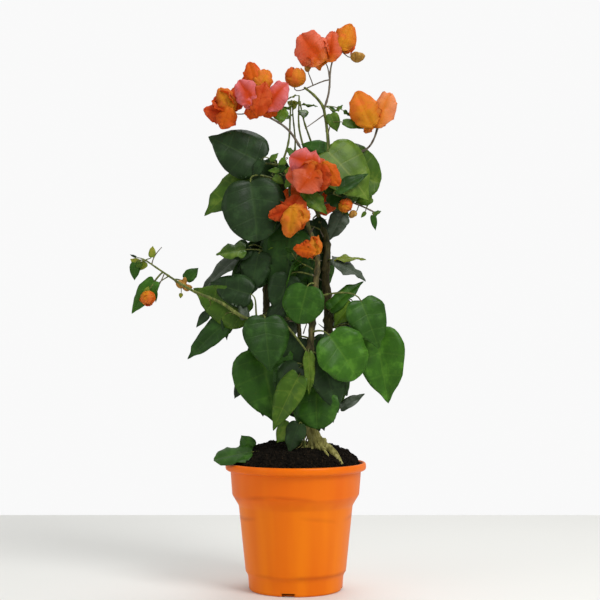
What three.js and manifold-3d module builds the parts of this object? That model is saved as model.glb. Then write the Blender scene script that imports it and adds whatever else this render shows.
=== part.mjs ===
// A bougainvillea in a grower's pot: pot, soil, root crown, four climbing stems, their boughs,
// thin sprays of leaves and loose bunches of bracts. Millimetres, +Z up.
// The origin is the centre of the pot's flat underside, which is the face that the plant stands on.
import * as THREE from "three";
import { mergeVertices } from "three/addons/utils/BufferGeometryUtils.js";
import Module from "manifold-3d";

const wasm = await Module();
wasm.setup();

// Driving dimensions
const GAP = 0.35; // air left between neighbouring solids
const ROUNDING = 1e-3; // corners nearer than this are one corner
const POT_HEIGHT = 151;
const RIM_RADIUS = 85; // outside of the rolled lip
const FOOT_RADIUS = 56.3;
const POT_WALL = 1.6;
const POT_SIDES = 26; // the soil has as many, so that its corners follow the wall
const LIP = { depth: 9, wide: 4, round: 1.4 }; // the rolled lip round the mouth
const BAND_RADIUS = 79; // outside of the wall just under the lip
const SHOULDER = { top: 113, bottom: 100, outer: 76.8, inner: 69 }; // the step below the wide band
const FOOT_STEP = { top: 22, bottom: 17, outer: 60.6, inner: 57.6 }; // the small step above the foot
const DRAIN_SLOTS = { count: 4, wide: 15, high: 3.2, deep: 12, first: 261 }; // round the foot's edge
const HEAP = { edge: 149, inset: 0.2, rise: 23, lean: 3, shoulder: 4 }; // the soil's heaped top
const LUMPS = { high: 1.6, across: 0.17, deep: 0.21, fineShare: 0.5, fineAcross: 0.29, fineDeep: 0.33 };
const HEAP_RINGS = [1, 0.82, 0.56, 0.26]; // shares of the soil's radius that carry its lumps
const GROUND = 167; // level of the flat cut under the root crown
const FLARE_FALL = 9; // how quickly a flared foot thins out along its limb
const FLAT_UNDER = 2.5; // corners of a flared foot this near the ground are set flat on it
const LIMB_STEP = 40; // length of one straight run of a limb
const FEWEST_RUNS = 4; // a short limb still has this many
const LIMB_PLACES = 60; // places along a limb where a stalk may leave
const THICK_LIMB = 3; // limbs with a stouter foot than this have brown bark
// A stalk climbs on its way out, and runs into its pad by a share of the pad's length
const STALK = { radius: 1.4, sides: 4, runs: 2, arch: 0.12, climb: 10, into: 0.14 };
const PAD = { thick: 8, faces: 12, rings: 4, bow: 0.06, shoulder: 1.16, taper: 0.4, tip: 0.1, tipPower: 5 };
const PAD_EDGE = { ruffle: 0.05, lobes: 3, waves: 5, waveShare: 0.6 }; // the rim runs in and out
const PAD_SLOPE = 74; // most sprays hang this steeply
const LIGHT = [5, 250]; // the front sprays all turn their faces away from this place behind the plant
const BACK_DEPTH = 60; // the sprays that close the back stand this far behind the pot's axis
const BACK_PAD = { long: 68, wide: 54, swing: 0, slope: 52 };
const YOUNG_SPRAY = 2100; // pads smaller than this in square millimetres hold young leaves
const BLOOM_RUFFLE = { deep: 0.05, across: 5, up: 4 };

const COLOURS = {
  pot: 0xe4700f,
  soil: 0x241a13,
  bark: 0x6f5f41,
  shoot: 0x5d6b33,
  leaf: 0x2d5a2b,
  youngLeaf: 0x5f8a34,
  bract: 0xe06a24,
};

const up = new THREE.Vector3(0, 0, 1);
const radians = THREE.MathUtils.degToRad;

function material(colour, roughness) {
  return new THREE.MeshStandardMaterial({ color: colour, roughness, metalness: 0 });
}

// The closed solid of a geometry, with only its positions and its shared corners merged
function solidOf(geometry) {
  const bare = new THREE.BufferGeometry();
  bare.setAttribute("position", geometry.getAttribute("position"));
  if (geometry.index) bare.setIndex(geometry.index);
  const merged = mergeVertices(bare, ROUNDING);
  const vertProperties = new Float32Array(merged.attributes.position.array);
  const triVerts = new Uint32Array(merged.index.array);
  return new wasm.Manifold(new wasm.Mesh({ numProp: 3, vertProperties, triVerts }));
}

function geometryOf(solid) {
  const shape = solid.getMesh();
  const geometry = new THREE.BufferGeometry();
  geometry.setAttribute("position", new THREE.BufferAttribute(shape.vertProperties, 3));
  geometry.setIndex(new THREE.BufferAttribute(shape.triVerts, 1));
  geometry.computeVertexNormals();
  return geometry;
}

// The largest single body that is left of a solid once its neighbours are cut away
function cutRound(solid, neighbours) {
  const left = neighbours.reduce((rest, neighbour) => rest.subtract(neighbour), solid);
  const bodies = left.decompose();
  return bodies.reduce((best, body) => (body.volume() > best.volume() ? body : best));
}

// Unit direction from a compass heading, counted from +X towards +Y, and a rise above the level
function direction(heading, rise) {
  const h = radians(heading);
  const r = radians(rise);
  return new THREE.Vector3(Math.cos(r) * Math.cos(h), Math.cos(r) * Math.sin(h), Math.sin(r));
}

const group = new THREE.Group();

function addNode(name, solid, finish) {
  const mesh = new THREE.Mesh(geometryOf(solid), finish);
  mesh.name = name;
  group.add(mesh);
}

// Pot

// Outside of the pot's wall from the foot up to the lip, as [radius, height]
function wallOutline() {
  return [
    [FOOT_RADIUS, 0],
    [FOOT_STEP.inner, FOOT_STEP.bottom],
    [FOOT_STEP.outer, FOOT_STEP.top],
    [SHOULDER.inner, SHOULDER.bottom],
    [SHOULDER.outer, SHOULDER.top],
    [BAND_RADIUS, POT_HEIGHT - LIP.depth],
  ];
}

function latheGeometry(outline) {
  const profile = outline.map(([radius, height]) => new THREE.Vector2(radius, height));
  return new THREE.LatheGeometry(profile, POT_SIDES).rotateX(Math.PI / 2);
}

function latheSolid(outline) {
  return solidOf(latheGeometry(outline));
}

function makePot() {
  const wall = wallOutline();
  const under = POT_HEIGHT - LIP.depth;
  const lip = [
    [RIM_RADIUS - LIP.round, under],
    [RIM_RADIUS, under + LIP.round],
    [RIM_RADIUS, POT_HEIGHT - LIP.round],
    [RIM_RADIUS - LIP.round, POT_HEIGHT],
    [RIM_RADIUS - LIP.wide, POT_HEIGHT],
  ];
  const inside = wall.map(([radius, height]) => [radius - POT_WALL, Math.max(height, POT_WALL)]).reverse();
  const body = latheSolid([[0, 0], ...wall, ...lip, ...inside, [0, POT_WALL]]);
  return cutRound(body, drainSlots());
}

function drainSlots() {
  const slots = [];
  for (let i = 0; i < DRAIN_SLOTS.count; i++) {
    const slot = new THREE.BoxGeometry(DRAIN_SLOTS.deep, DRAIN_SLOTS.wide, 2 * DRAIN_SLOTS.high);
    slot.translate(FOOT_RADIUS, 0, 0);
    slot.rotateZ(radians(DRAIN_SLOTS.first + (360 / DRAIN_SLOTS.count) * i));
    slots.push(solidOf(slot));
  }
  return slots;
}

// Soil

// Height of the heaped soil: a low mound, a little higher at the back, with soft lumps
function soilHeight(x, y) {
  const mound = Math.max(0, 1 - (Math.hypot(x, y) / BAND_RADIUS) ** HEAP.shoulder);
  const coarse = Math.sin(LUMPS.across * x + 1) * Math.cos(LUMPS.deep * y);
  const fine = LUMPS.fineShare * Math.sin(LUMPS.fineDeep * y + LUMPS.fineAcross * x);
  return HEAP.edge + (HEAP.rise + LUMPS.high * (coarse + fine)) * mound + (HEAP.lean * y) / BAND_RADIUS;
}

function makeSoil() {
  const inset = POT_WALL + GAP;
  const side = wallOutline().map(([radius, height]) => [radius - inset, Math.max(height, inset)]);
  const edge = side[side.length - 1][0] - HEAP.inset;
  const top = HEAP_RINGS.map((share) => [edge * share, HEAP.edge]);
  const geometry = latheGeometry([[0, inset], ...side, ...top, [0, HEAP.edge]]);
  const place = geometry.attributes.position;
  for (let i = 0; i < place.count; i++) {
    if (place.getZ(i) > HEAP.edge - ROUNDING) place.setZ(i, soilHeight(place.getX(i), place.getY(i)));
  }
  return solidOf(geometry);
}

// Limbs: each one tapers along a smooth line through a few places
const LIMBS = [
  {
    name: "trunk", foot: 9.5, tip: 6.4, sides: 10, flare: 6,
    line: [[26, -20, GROUND], [25, -20, 173], [20, -17, 190], [13, -13, 205]],
  },
  {
    name: "stem_left", foot: 3.6, tip: 2, sides: 6,
    line: [
      [9, -11, 206], [-14, 0, 238], [-32, 2, 290], [-36, 0, 345],
      [-28, 0, 430], [-14, -2, 520], [-5, -2, 590],
    ],
  },
  {
    name: "stem_middle", foot: 3.8, tip: 2, sides: 6,
    line: [
      [14, -16, 208], [14, -30, 250], [20, -34, 320], [24, -30, 380],
      [14, -20, 470], [5, -12, 560], [4, -11, 594],
    ],
  },
  {
    name: "stem_right", foot: 3.8, tip: 2, sides: 6,
    line: [[18, -9, 206], [34, 5, 250], [40, 6, 315], [34, 4, 400], [29, 2, 470], [16, 4, 540], [5, 6, 590]],
  },
  {
    name: "stem_back", foot: 3.4, tip: 1.8, sides: 6,
    line: [[13, -5, 208], [8, 35, 260], [2, 50, 340], [-2, 40, 430], [-3, 17, 520], [-4, 11, 585]],
  },
  {
    name: "bough_riser", foot: 2.4, tip: 1.8, sides: 6,
    line: [[30, 2, 474], [37, -6, 505], [41, -10, 530], [37, -13, 558], [34, -14, 576]],
  },
  {
    name: "bough_arch", foot: 1.9, tip: 1.5, sides: 6,
    line: [[33, -14, 580], [22, -14, 594], [10, -12, 603]],
  },
  {
    name: "bough_top", foot: 1.5, tip: 1, sides: 6,
    line: [[35, -14, 579], [43, -14, 602], [39, -14, 622], [46, -15, 640]],
  },
  {
    name: "bough_left_bloom", foot: 1.8, tip: 1, sides: 6,
    line: [[9, -15, 522], [-9, -22, 553], [-30, -25, 563], [-44, -27, 570]],
  },
  {
    name: "bough_right_bloom", foot: 1.9, tip: 1, sides: 6,
    line: [[40, -10, 522], [62, -2, 524], [86, 2, 526], [101, -4, 538], [103, -8, 549], [99, -12, 558]],
  },
  {
    name: "bough_left_long", foot: 2.4, tip: 1, sides: 6,
    line: [[-36, 0, 338], [-80, 8, 344], [-125, 2, 360], [-158, -4, 383], [-182, -6, 397]],
  },
  {
    name: "bough_right_twig", foot: 1.7, tip: 0.9, sides: 6,
    line: [[30, 2, 462], [52, -6, 470], [70, -10, 464], [94, -12, 452]],
  },
];

function limbCurve(limb) {
  return new THREE.CatmullRomCurve3(limb.line.map((place) => new THREE.Vector3(...place)));
}

// A tapering cylinder bent along a curve; flare widens its foot, and grow adds a clearance all round
function bendAlong(curve, foot, tip, sides, steps, flare = 0, grow = 0) {
  const geometry = new THREE.CylinderGeometry(1, 1, 1, sides, steps);
  const frames = curve.computeFrenetFrames(steps);
  const place = geometry.attributes.position;
  for (let i = 0; i < place.count; i++) {
    const along = place.getY(i) + 0.5;
    const step = Math.round(along * steps);
    const radius = THREE.MathUtils.lerp(foot, tip, along) + flare * Math.exp(-FLARE_FALL * along) + grow;
    const centre = curve.getPointAt(along);
    if (step === 0) centre.addScaledVector(frames.tangents[0], -grow);
    if (step === steps) centre.addScaledVector(frames.tangents[steps], grow);
    centre.addScaledVector(frames.normals[step], radius * place.getZ(i));
    centre.addScaledVector(frames.binormals[step], radius * place.getX(i));
    place.setXYZ(i, centre.x, centre.y, centre.z);
  }
  return geometry;
}

function limbSolid(limb, grow = 0) {
  const curve = limbCurve(limb);
  const steps = Math.max(FEWEST_RUNS, Math.round(curve.getLength() / LIMB_STEP));
  const geometry = bendAlong(curve, limb.foot, limb.tip, limb.sides, steps, limb.flare, grow);
  if (limb.flare) {
    const place = geometry.attributes.position;
    for (let i = 0; i < place.count; i++) {
      if (place.getZ(i) < GROUND + FLAT_UNDER) place.setZ(i, GROUND - grow);
    }
  }
  return solidOf(geometry);
}

// Sprays: a short stalk leaves the nearest limb and ends in a thin, drooping pad of leaves, pointed at
// its tip. at is the middle of the pad. swing turns the tip from straight down towards the right, as
// seen by someone whom the pad faces. slope is how steeply the pad hangs, and faces is the heading of
// its upper side, which most sprays leave to the light.
const SPRAYS = [
  { name: "foliage_upper_left", at: [-67, -20, 529], long: 72, wide: 54, swing: -110 },
  { name: "foliage_left_dark", at: [-52, -36, 450], long: 70, wide: 64, swing: -15 },
  { name: "foliage_left_light", at: [-80, -32, 476], long: 70, wide: 36, swing: -50, slope: 50 },
  { name: "foliage_crest_right", at: [60, -14, 568], long: 44, wide: 25, swing: 70, slope: 50 },
  { name: "foliage_upper_right", at: [66, -38, 503], long: 80, wide: 70, swing: 42, slope: 60 },
  { name: "foliage_twig_right", at: [87, -12, 455], long: 50, wide: 24, swing: 30, slope: 65 },
  { name: "foliage_stem_right", at: [48, -14, 436], long: 36, wide: 28, swing: 0 },
  { name: "foliage_left_small", at: [-74, -22, 409], long: 34, wide: 22, swing: -100, slope: 50 },
  { name: "foliage_left_grey", at: [-93, -12, 378], long: 66, wide: 40, swing: 0, faces: 190, slope: 35 },
  { name: "foliage_right_flat", at: [68, -5, 387], long: 42, wide: 40, swing: -10, faces: 0, slope: 12 },
  { name: "foliage_right_pointed", at: [58, -22, 350], long: 50, wide: 24, swing: 145, slope: 110 },
  { name: "foliage_left_bright", at: [-89, -26, 346], long: 70, wide: 40, swing: -120, slope: 85 },
  { name: "foliage_left_inner", at: [-62, -4, 372], long: 78, wide: 46, swing: -15 },
  { name: "foliage_left_blade", at: [-107, -10, 300], long: 70, wide: 26, swing: -40, slope: 60 },
  { name: "foliage_tip_upper", at: [-189, -8, 390], long: 44, wide: 32, swing: -75 },
  { name: "foliage_tip_lower", at: [-184, -8, 353], long: 44, wide: 28, swing: -40 },
  { name: "foliage_heart_centre", at: [11, -48, 342], long: 48, wide: 42, swing: -5 },
  { name: "foliage_heart_left", at: [-35, -40, 297], long: 62, wide: 56, swing: -45, slope: 66 },
  { name: "foliage_heart_low_left", at: [-37, -32, 246], long: 84, wide: 63, swing: 15, slope: 80 },
  { name: "foliage_heart_right", at: [88, -12, 317], long: 68, wide: 46, swing: 5 },
  { name: "foliage_heart_far_right", at: [103, -6, 266], long: 76, wide: 50, swing: 0, slope: 80 },
  { name: "foliage_heart_bright", at: [60, -32, 281], long: 62, wide: 52, swing: 55, slope: 62 },
  { name: "foliage_low_dark", at: [42, -20, 242], long: 76, wide: 42, swing: 25 },
  { name: "foliage_low_olive", at: [-8, -44, 234], long: 72, wide: 34, swing: -15, faces: 235, slope: 70 },
  { name: "foliage_low_front", at: [24, -52, 211], long: 56, wide: 60, swing: -30, slope: 60 },
  { name: "foliage_soil_centre", at: [-9, -38, 188], long: 35, wide: 30, swing: -30, slope: 55 },
  { name: "foliage_over_rim", at: [-66, -36, 168], long: 50, wide: 30, swing: 0, faces: 200, slope: 20 },
  { name: "foliage_core_upper", at: [-10, -20, 385], long: 90, wide: 52, swing: -5, slope: 82 },
];

// The back is closed by tiers of sprays, one to each side of the back stem
const BACK_TIERS = [
  { tier: "low", height: 240, left: -34, right: 44 },
  { tier: "waist", height: 300, left: -30, right: 80 },
  { tier: "middle", height: 378, left: -62, right: 16 },
  { tier: "upper", height: 482, left: -48, right: 48 },
];

function backSprays() {
  const sprays = [];
  for (const { tier, height, ...sides } of BACK_TIERS) {
    for (const [side, x] of Object.entries(sides)) {
      const faces = THREE.MathUtils.radToDeg(Math.atan2(BACK_DEPTH, x));
      sprays.push({ name: `foliage_back_${tier}_${side}`, at: [x, BACK_DEPTH, height], faces, ...BACK_PAD });
    }
  }
  return sprays;
}

// Local axes of a pad: along its length to the tip, across, and out of its upper side
function padAxes({ at, swing, slope = PAD_SLOPE, faces }) {
  const heading = faces ?? THREE.MathUtils.radToDeg(Math.atan2(at[1] - LIGHT[1], at[0] - LIGHT[0]));
  const out = direction(heading, 90 - slope);
  const along = direction(heading, -slope).applyAxisAngle(out, radians(swing));
  const across = new THREE.Vector3().crossVectors(out, along);
  return { along, across, out };
}

function padSolid(spray, base, seed, grow) {
  const { along, across, out } = padAxes(spray);
  const geometry = new THREE.SphereGeometry(1, PAD.faces, PAD.rings);
  const place = geometry.attributes.position;
  for (let i = 0; i < place.count; i++) {
    const share = place.getX(i); // -1 at the base, 1 at the tip
    const side = -place.getZ(i);
    const turn = Math.atan2(side, share);
    const waves = PAD_EDGE.waveShare * Math.sin(PAD_EDGE.waves * turn + 2 * seed);
    const edge = 1 + PAD_EDGE.ruffle * (Math.sin(PAD_EDGE.lobes * turn + seed) + waves);
    const tip = PAD.tip * Math.max(0, share) ** PAD.tipPower;
    const length = (spray.long / 2 + grow) * (1 + share * edge + tip);
    const width = (spray.wide / 2 + grow) * side * edge * (PAD.shoulder - PAD.taper * share);
    const bow = PAD.bow * spray.long * (side * side - share * share);
    const height = (PAD.thick / 2 + grow) * place.getY(i) + bow;
    const point = base.clone().addScaledVector(along, length - grow);
    point.addScaledVector(across, width).addScaledVector(out, height);
    place.setXYZ(i, point.x, point.y, point.z);
  }
  return solidOf(geometry);
}

function stalkSolid(start, end, grow) {
  const middle = start.clone().lerp(end, 0.5).addScaledVector(up, STALK.arch * start.distanceTo(end));
  const curve = new THREE.QuadraticBezierCurve3(start, middle, end);
  return solidOf(bendAlong(curve, STALK.radius, STALK.radius, STALK.sides, STALK.runs, 0, grow));
}

// The place on any limb where a stalk leaves for a given end, so that it climbs a little on its way
function nearestOnLimbs(end) {
  const below = end.clone().addScaledVector(up, -STALK.climb);
  const places = LIMBS.flatMap((limb) => limbCurve(limb).getSpacedPoints(LIMB_PLACES));
  return places.reduce((best, spot) => (spot.distanceTo(below) < best.distanceTo(below) ? spot : best));
}

function spraySolid(spray, seed, grow = 0) {
  const { along } = padAxes(spray);
  const base = new THREE.Vector3(...spray.at).addScaledVector(along, -spray.long / 2);
  const inside = base.clone().addScaledVector(along, STALK.into * spray.long);
  return padSolid(spray, base, seed, grow).add(stalkSolid(nearestOnLimbs(base), inside, grow));
}

// Blooms: loose rounded bunches of papery bracts at the ends of twigs. at is the middle of the bunch,
// half its half sizes, and share how far along its limb the twig leaves.
const BLOOMS = [
  { name: "bloom_top_left", limb: "bough_top", share: 1, at: [26, -18, 651], half: [27, 15, 21] },
  { name: "bloom_top_right", limb: "bough_top", share: 1, at: [64, -15, 665], half: [14, 12, 18] },
  { name: "bloom_ball", limb: "bough_arch", share: 0.9, at: [-1, -12, 615], half: [13, 13, 13] },
  { name: "bloom_right", limb: "bough_right_bloom", share: 1, at: [97, -16, 576], half: [27, 16, 25] },
  { name: "bloom_left_pink", limb: "bough_left_bloom", share: 1, at: [-38, -36, 594], half: [29, 17, 33] },
  { name: "bloom_left_outer", limb: "bough_left_bloom", share: 0.8, at: [-91, -26, 579], half: [20, 15, 24] },
  { name: "bloom_centre", limb: "stem_middle", share: 0.8, at: [24, -54, 496], half: [31, 15, 26] },
  { name: "bloom_orange", limb: "stem_middle", share: 0.66, at: [-5, -50, 442], half: [22, 14, 24] },
  { name: "bloom_small", limb: "stem_middle", share: 0.58, at: [15, -56, 410], half: [17, 10, 14] },
  { name: "bloom_back", limb: "stem_back", share: 0.72, at: [14, 42, 478], half: [24, 17, 22] },
];

function bloomSolid(bloom, seed, grow = 0) {
  const limb = LIMBS.find(({ name }) => name === bloom.limb);
  const start = limbCurve(limb).getPointAt(bloom.share);
  const centre = new THREE.Vector3(...bloom.at);
  const geometry = new THREE.IcosahedronGeometry(1, 1);
  const place = geometry.attributes.position;
  const point = new THREE.Vector3();
  for (let i = 0; i < place.count; i++) {
    point.fromBufferAttribute(place, i);
    const waves = Math.sin(BLOOM_RUFFLE.across * point.x + seed) * Math.cos(BLOOM_RUFFLE.up * point.z - seed);
    const ruffle = 1 + BLOOM_RUFFLE.deep * (waves - 1);
    const [wide, deep, high] = bloom.half.map((half) => half * ruffle + grow);
    place.setXYZ(i, centre.x + wide * point.x, centre.y + deep * point.y, centre.z + high * point.z);
  }
  return solidOf(geometry).add(stalkSolid(start, centre, grow));
}

// Assembly: each piece in turn is cut clear of the pieces already in place

const placed = [];

function keepClear(solid) {
  placed.push({ solid, box: solid.boundingBox() });
}

function place(name, make, finish) {
  const solid = make(0);
  const box = solid.boundingBox();
  const near = placed.filter((other) => {
    return [0, 1, 2].every((i) => other.box.min[i] <= box.max[i] && other.box.max[i] >= box.min[i]);
  });
  addNode(name, cutRound(solid, near.map((other) => other.solid)), finish);
  keepClear(make(GAP));
}

const barkFinish = material(COLOURS.bark, 0.85);
const shootFinish = material(COLOURS.shoot, 0.7);
const leafFinish = material(COLOURS.leaf, 0.45);
const youngLeafFinish = material(COLOURS.youngLeaf, 0.45);
const bractFinish = material(COLOURS.bract, 0.6);
const trunk = LIMBS[0];
const pot = makePot();
const soil = cutRound(makeSoil(), [limbSolid(trunk, GAP)]);

addNode("pot", pot, material(COLOURS.pot, 0.35));
addNode("soil", soil, material(COLOURS.soil, 1));
LIMBS.forEach((limb) => {
  place(limb.name, (grow) => limbSolid(limb, grow), limb.foot > THICK_LIMB ? barkFinish : shootFinish);
});
[pot, soil].forEach((solid) => keepClear(solid.translate([0, 0, GAP])));
BLOOMS.forEach((bloom, i) => {
  place(bloom.name, (grow) => bloomSolid(bloom, i, grow), bractFinish);
});
[...SPRAYS, ...backSprays()].forEach((spray, i) => {
  const finish = spray.long * spray.wide < YOUNG_SPRAY ? youngLeafFinish : leafFinish;
  place(spray.name, (grow) => spraySolid(spray, i, grow), finish);
});

export default group;
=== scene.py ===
import bpy
import bmesh
import math
import numpy as np
from mathutils import Matrix, Vector, noise
from mathutils.bvhtree import BVHTree


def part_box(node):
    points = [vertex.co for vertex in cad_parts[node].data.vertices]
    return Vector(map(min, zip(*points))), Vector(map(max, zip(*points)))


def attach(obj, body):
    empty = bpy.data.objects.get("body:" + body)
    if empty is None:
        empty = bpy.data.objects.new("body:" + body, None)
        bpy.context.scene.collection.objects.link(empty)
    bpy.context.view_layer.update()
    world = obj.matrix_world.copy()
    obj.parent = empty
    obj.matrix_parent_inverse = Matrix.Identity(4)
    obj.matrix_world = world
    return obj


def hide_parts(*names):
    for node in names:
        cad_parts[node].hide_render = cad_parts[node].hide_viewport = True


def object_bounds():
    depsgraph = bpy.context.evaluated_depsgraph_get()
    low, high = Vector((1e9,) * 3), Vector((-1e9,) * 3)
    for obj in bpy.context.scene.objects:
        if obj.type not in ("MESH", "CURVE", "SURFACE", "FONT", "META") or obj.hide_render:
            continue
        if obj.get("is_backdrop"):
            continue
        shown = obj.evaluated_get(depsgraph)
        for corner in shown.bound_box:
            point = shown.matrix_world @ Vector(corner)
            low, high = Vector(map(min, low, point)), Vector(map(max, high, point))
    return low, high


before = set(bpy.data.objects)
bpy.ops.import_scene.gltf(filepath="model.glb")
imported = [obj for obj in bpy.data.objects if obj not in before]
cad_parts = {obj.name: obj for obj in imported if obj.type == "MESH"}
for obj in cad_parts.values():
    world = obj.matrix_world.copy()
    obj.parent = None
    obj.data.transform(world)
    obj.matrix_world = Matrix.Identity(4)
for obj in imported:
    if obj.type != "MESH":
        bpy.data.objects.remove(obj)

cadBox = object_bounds()  # the solids' own box, before anything is added
world = bpy.context.scene
upward = np.array([0.0, 0.0, 1.0])
forward = np.array([0.0, -1.0, 0.0])  # the front of the bush is seen along Y
leafTurn = 137.5  # degrees from one leaf to the next up a stem
print("frame loaded:", len(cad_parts), "solids")


def unit(vector):
    return vector / np.linalg.norm(vector)


def rotated(vector, axis, angle):
    axis = unit(np.asarray(axis, float))
    vector = np.asarray(vector, float)
    return (vector * math.cos(angle) + np.cross(axis, vector) * math.sin(angle)
            + axis * (axis @ vector) * (1 - math.cos(angle)))


def headed(angle, rise=0.0):
    # a direction turned by an angle from X, level unless it has a rise
    return np.array([math.cos(angle), math.sin(angle), rise])


def hanging(level, slope):
    # the run and the upper side of a leaf that hangs by a slope from a level direction
    return (unit(level * math.cos(slope) - upward * math.sin(slope)),
            unit(level * math.sin(slope) + upward * math.cos(slope)))


def squared(line, tangent):
    # the part of a line that stands at a right angle to a tangent, of unit length
    return unit(line - tangent * (line @ tangent))


def nearest(places, spot):
    return places[np.linalg.norm(places - spot, axis=1).argmin()]


# the solids are read as loose triangles
def trianglesOf(name):
    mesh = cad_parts[name].data
    mesh.calc_loop_triangles()
    places = np.array([vert.co[:] for vert in mesh.vertices])
    return places[np.array([tri.vertices[:] for tri in mesh.loop_triangles])]


def treeOf(triangles):
    # the same triangles, ready for rays
    return BVHTree.FromPolygons([tuple(place) for place in triangles.reshape(-1, 3)],
                                [(i, i + 1, i + 2) for i in range(0, 3 * len(triangles), 3)])


def skinOf(name):
    # the middle of a solid's skin, and the middle and the weight of each of its triangles
    triangles = trianglesOf(name)
    weights = np.linalg.norm(np.cross(triangles[:, 1] - triangles[:, 0], triangles[:, 2] - triangles[:, 0]),
                             axis=1)
    middles = triangles.mean(axis=1)
    return (middles * weights[:, None]).sum(axis=0) / weights.sum(), middles, weights


def sectionCentre(triangles, axis, level):
    ends = triangles[:, [0, 1, 1, 2, 2, 0]].reshape(-1, 2, 3)
    height = ends @ axis - level
    cut = height[:, 0] * height[:, 1] < 0
    ends, height = ends[cut], height[cut]
    share = (height[:, 0] / (height[:, 0] - height[:, 1]))[:, None]
    spots = ends[:, 0] + (ends[:, 1] - ends[:, 0]) * share
    centre = (spots.min(axis=0) + spots.max(axis=0)) / 2
    return centre, np.linalg.norm(spots - centre, axis=1).mean()


def rounded(line, passes):
    line = line.copy()
    for _ in range(passes):
        line[1:-1] = (line[:-2] + 2 * line[1:-1] + line[2:]) / 4
    return line


limbPlan = dict(step=0.008, inset=0.0008, fewest=8, ends=3, passes=3, drop=0.01)


def limbLine(name):
    # the middle line and the radii of a limb's solid, from cuts across it, foot first
    triangles = trianglesOf(name)
    corners = triangles.reshape(-1, 3)
    axis = np.linalg.svd(corners - corners.mean(axis=0), full_matrices=False)[2][0]
    low, high = (corners @ axis).min(), (corners @ axis).max()
    count = max(limbPlan["fewest"], round((high - low) / limbPlan["step"]))
    levels = np.linspace(low + limbPlan["inset"], high - limbPlan["inset"], count)
    line, radii = map(np.array, zip(*[sectionCentre(triangles, axis, level) for level in levels]))
    if radii[:limbPlan["ends"]].mean() < radii[-limbPlan["ends"]:].mean():
        line, radii = line[::-1], radii[::-1]
    return rounded(line, limbPlan["passes"]), radii


twinePlan = dict(bottom=0.36, turn=0.12, wide=0.006, early=0.8, thinning=0.55)


def twined(name, line, radii):
    # the upper stems are thin shoots that wind round each other
    bottom = twinePlan["bottom"]
    rise = np.clip((line[:, 2] - bottom) / (line[-1, 2] - bottom), 0, 1)
    turn = 2 * math.pi * line[:, 2] / twinePlan["turn"] + len(name)
    swing = twinePlan["wide"] * np.sin(math.pi * rise ** twinePlan["early"])
    line = line + np.column_stack([swing * np.cos(turn), swing * np.sin(turn), 0 * turn])
    return line, radii * (1 - twinePlan["thinning"] * rise)


stoutPlan = dict(top=0.47, fade=0.04, times=dict(stem_right=1.75, stem_left=1.45, stem_middle=1.2))


def stouter(name, line, radii):
    # the old stems are thick below and have thin young tops
    low = np.clip((stoutPlan["top"] - line[:, 2]) / stoutPlan["fade"], 0, 1)
    return line, radii * (1 + (stoutPlan["times"].get(name, 1) - 1) * low)


def rooted(name):
    # a limb starts inside the limb that carries it, which has its own foot lower down
    line, radii = limbs[name]
    others = [limb for limb, _ in limbs.values() if limb[0, 2] < line[0, 2] - limbPlan["drop"]]
    return np.vstack([nearest(np.concatenate(others), line[0]), line]), np.concatenate([radii[:1], radii])


limbNames = [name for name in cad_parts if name.startswith(("trunk", "stem", "bough"))]
stemNames = [name for name in limbNames if name.startswith("stem")]
limbs = {name: limbLine(name) for name in limbNames}
for name in stemNames:
    limbs[name] = stouter(name, *twined(name, *limbs[name]))
for name in reversed(limbNames):
    if name != "trunk":
        limbs[name] = rooted(name)

# the long bough passes in front of the leaves beside it, and sags: across, width and depth of each sag
longPlan = dict(forward=0.046, share=1.3, early=0.6, sags=((-0.056, 0.024, 0.017), (-0.135, 0.06, 0.0045)))
longLine = limbs["bough_left_long"][0]
bow = np.sin(math.pi * np.linspace(0, longPlan["share"], len(longLine)).clip(0, 1)) ** longPlan["early"]
longLine[:, 1] -= longPlan["forward"] * bow
for place, wide, down in longPlan["sags"]:
    longLine[:, 2] -= down * np.exp(-((longLine[:, 0] - place) / wide) ** 2)
limbPlaces = np.concatenate([limbs[name][0] for name in limbNames])
print("limb lines read:", len(limbPlaces), "places")

padPlan = dict(nudge=1e-6, upTurn=0.6, stretch=0.5, stalkShare=0.12)


def padFrame(name):
    # long axis, upper side and size of a spray's pad, found from its own solid
    centre, middles, weights = skinOf(name)
    normal = np.linalg.eigh(((middles - centre).T * weights) @ (middles - centre))[1][:, 0]
    outward = unit(centre * (1, 1, 0) + padPlan["nudge"])
    normal = normal * (1 if normal @ outward + padPlan["upTurn"] * normal[2] > 0 else -1)
    corners = trianglesOf(name).reshape(-1, 3)
    gaps = np.linalg.norm(corners[:, None] - limbPlaces[None], axis=2)
    start = limbPlaces[gaps.min(axis=0).argmin()]
    reach = np.linalg.norm(corners - centre, axis=1)
    reach = reach + padPlan["stretch"] * np.linalg.norm(corners - start, axis=1)
    tip = corners[reach.argmax()]
    along = squared(tip - centre, normal)
    across = np.cross(along, normal)
    aside = (corners - centre) @ across
    onPad = corners[np.abs(aside) > padPlan["stalkShare"] * np.ptp(aside)]
    back = ((onPad - centre) @ along).min()
    return dict(start=start, base=centre + along * back, along=along, normal=normal,
                long=(tip - centre) @ along - back, wide=np.ptp(onPad @ across))


def newHeap():
    # many small sheets, gathered for one mesh
    return dict(places=[], faces=[], marks=[], count=0)


def addToHeap(heap, places, faces, marks=()):
    heap["places"].append(places)
    heap["marks"].append(marks)
    heap["faces"] += [tuple(corner + heap["count"] for corner in face) for face in faces]
    heap["count"] += len(places)


def plainMesh(name, places, faces, finish):
    mesh = bpy.data.meshes.new(name)
    mesh.from_pydata([tuple(place) for place in places], [], faces)
    mesh.materials.append(finish)
    mesh.shade_smooth()
    return addObject(name, mesh)


def addObject(name, data):
    piece = bpy.data.objects.new(name, data)
    world.collection.objects.link(piece)
    return piece


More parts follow.
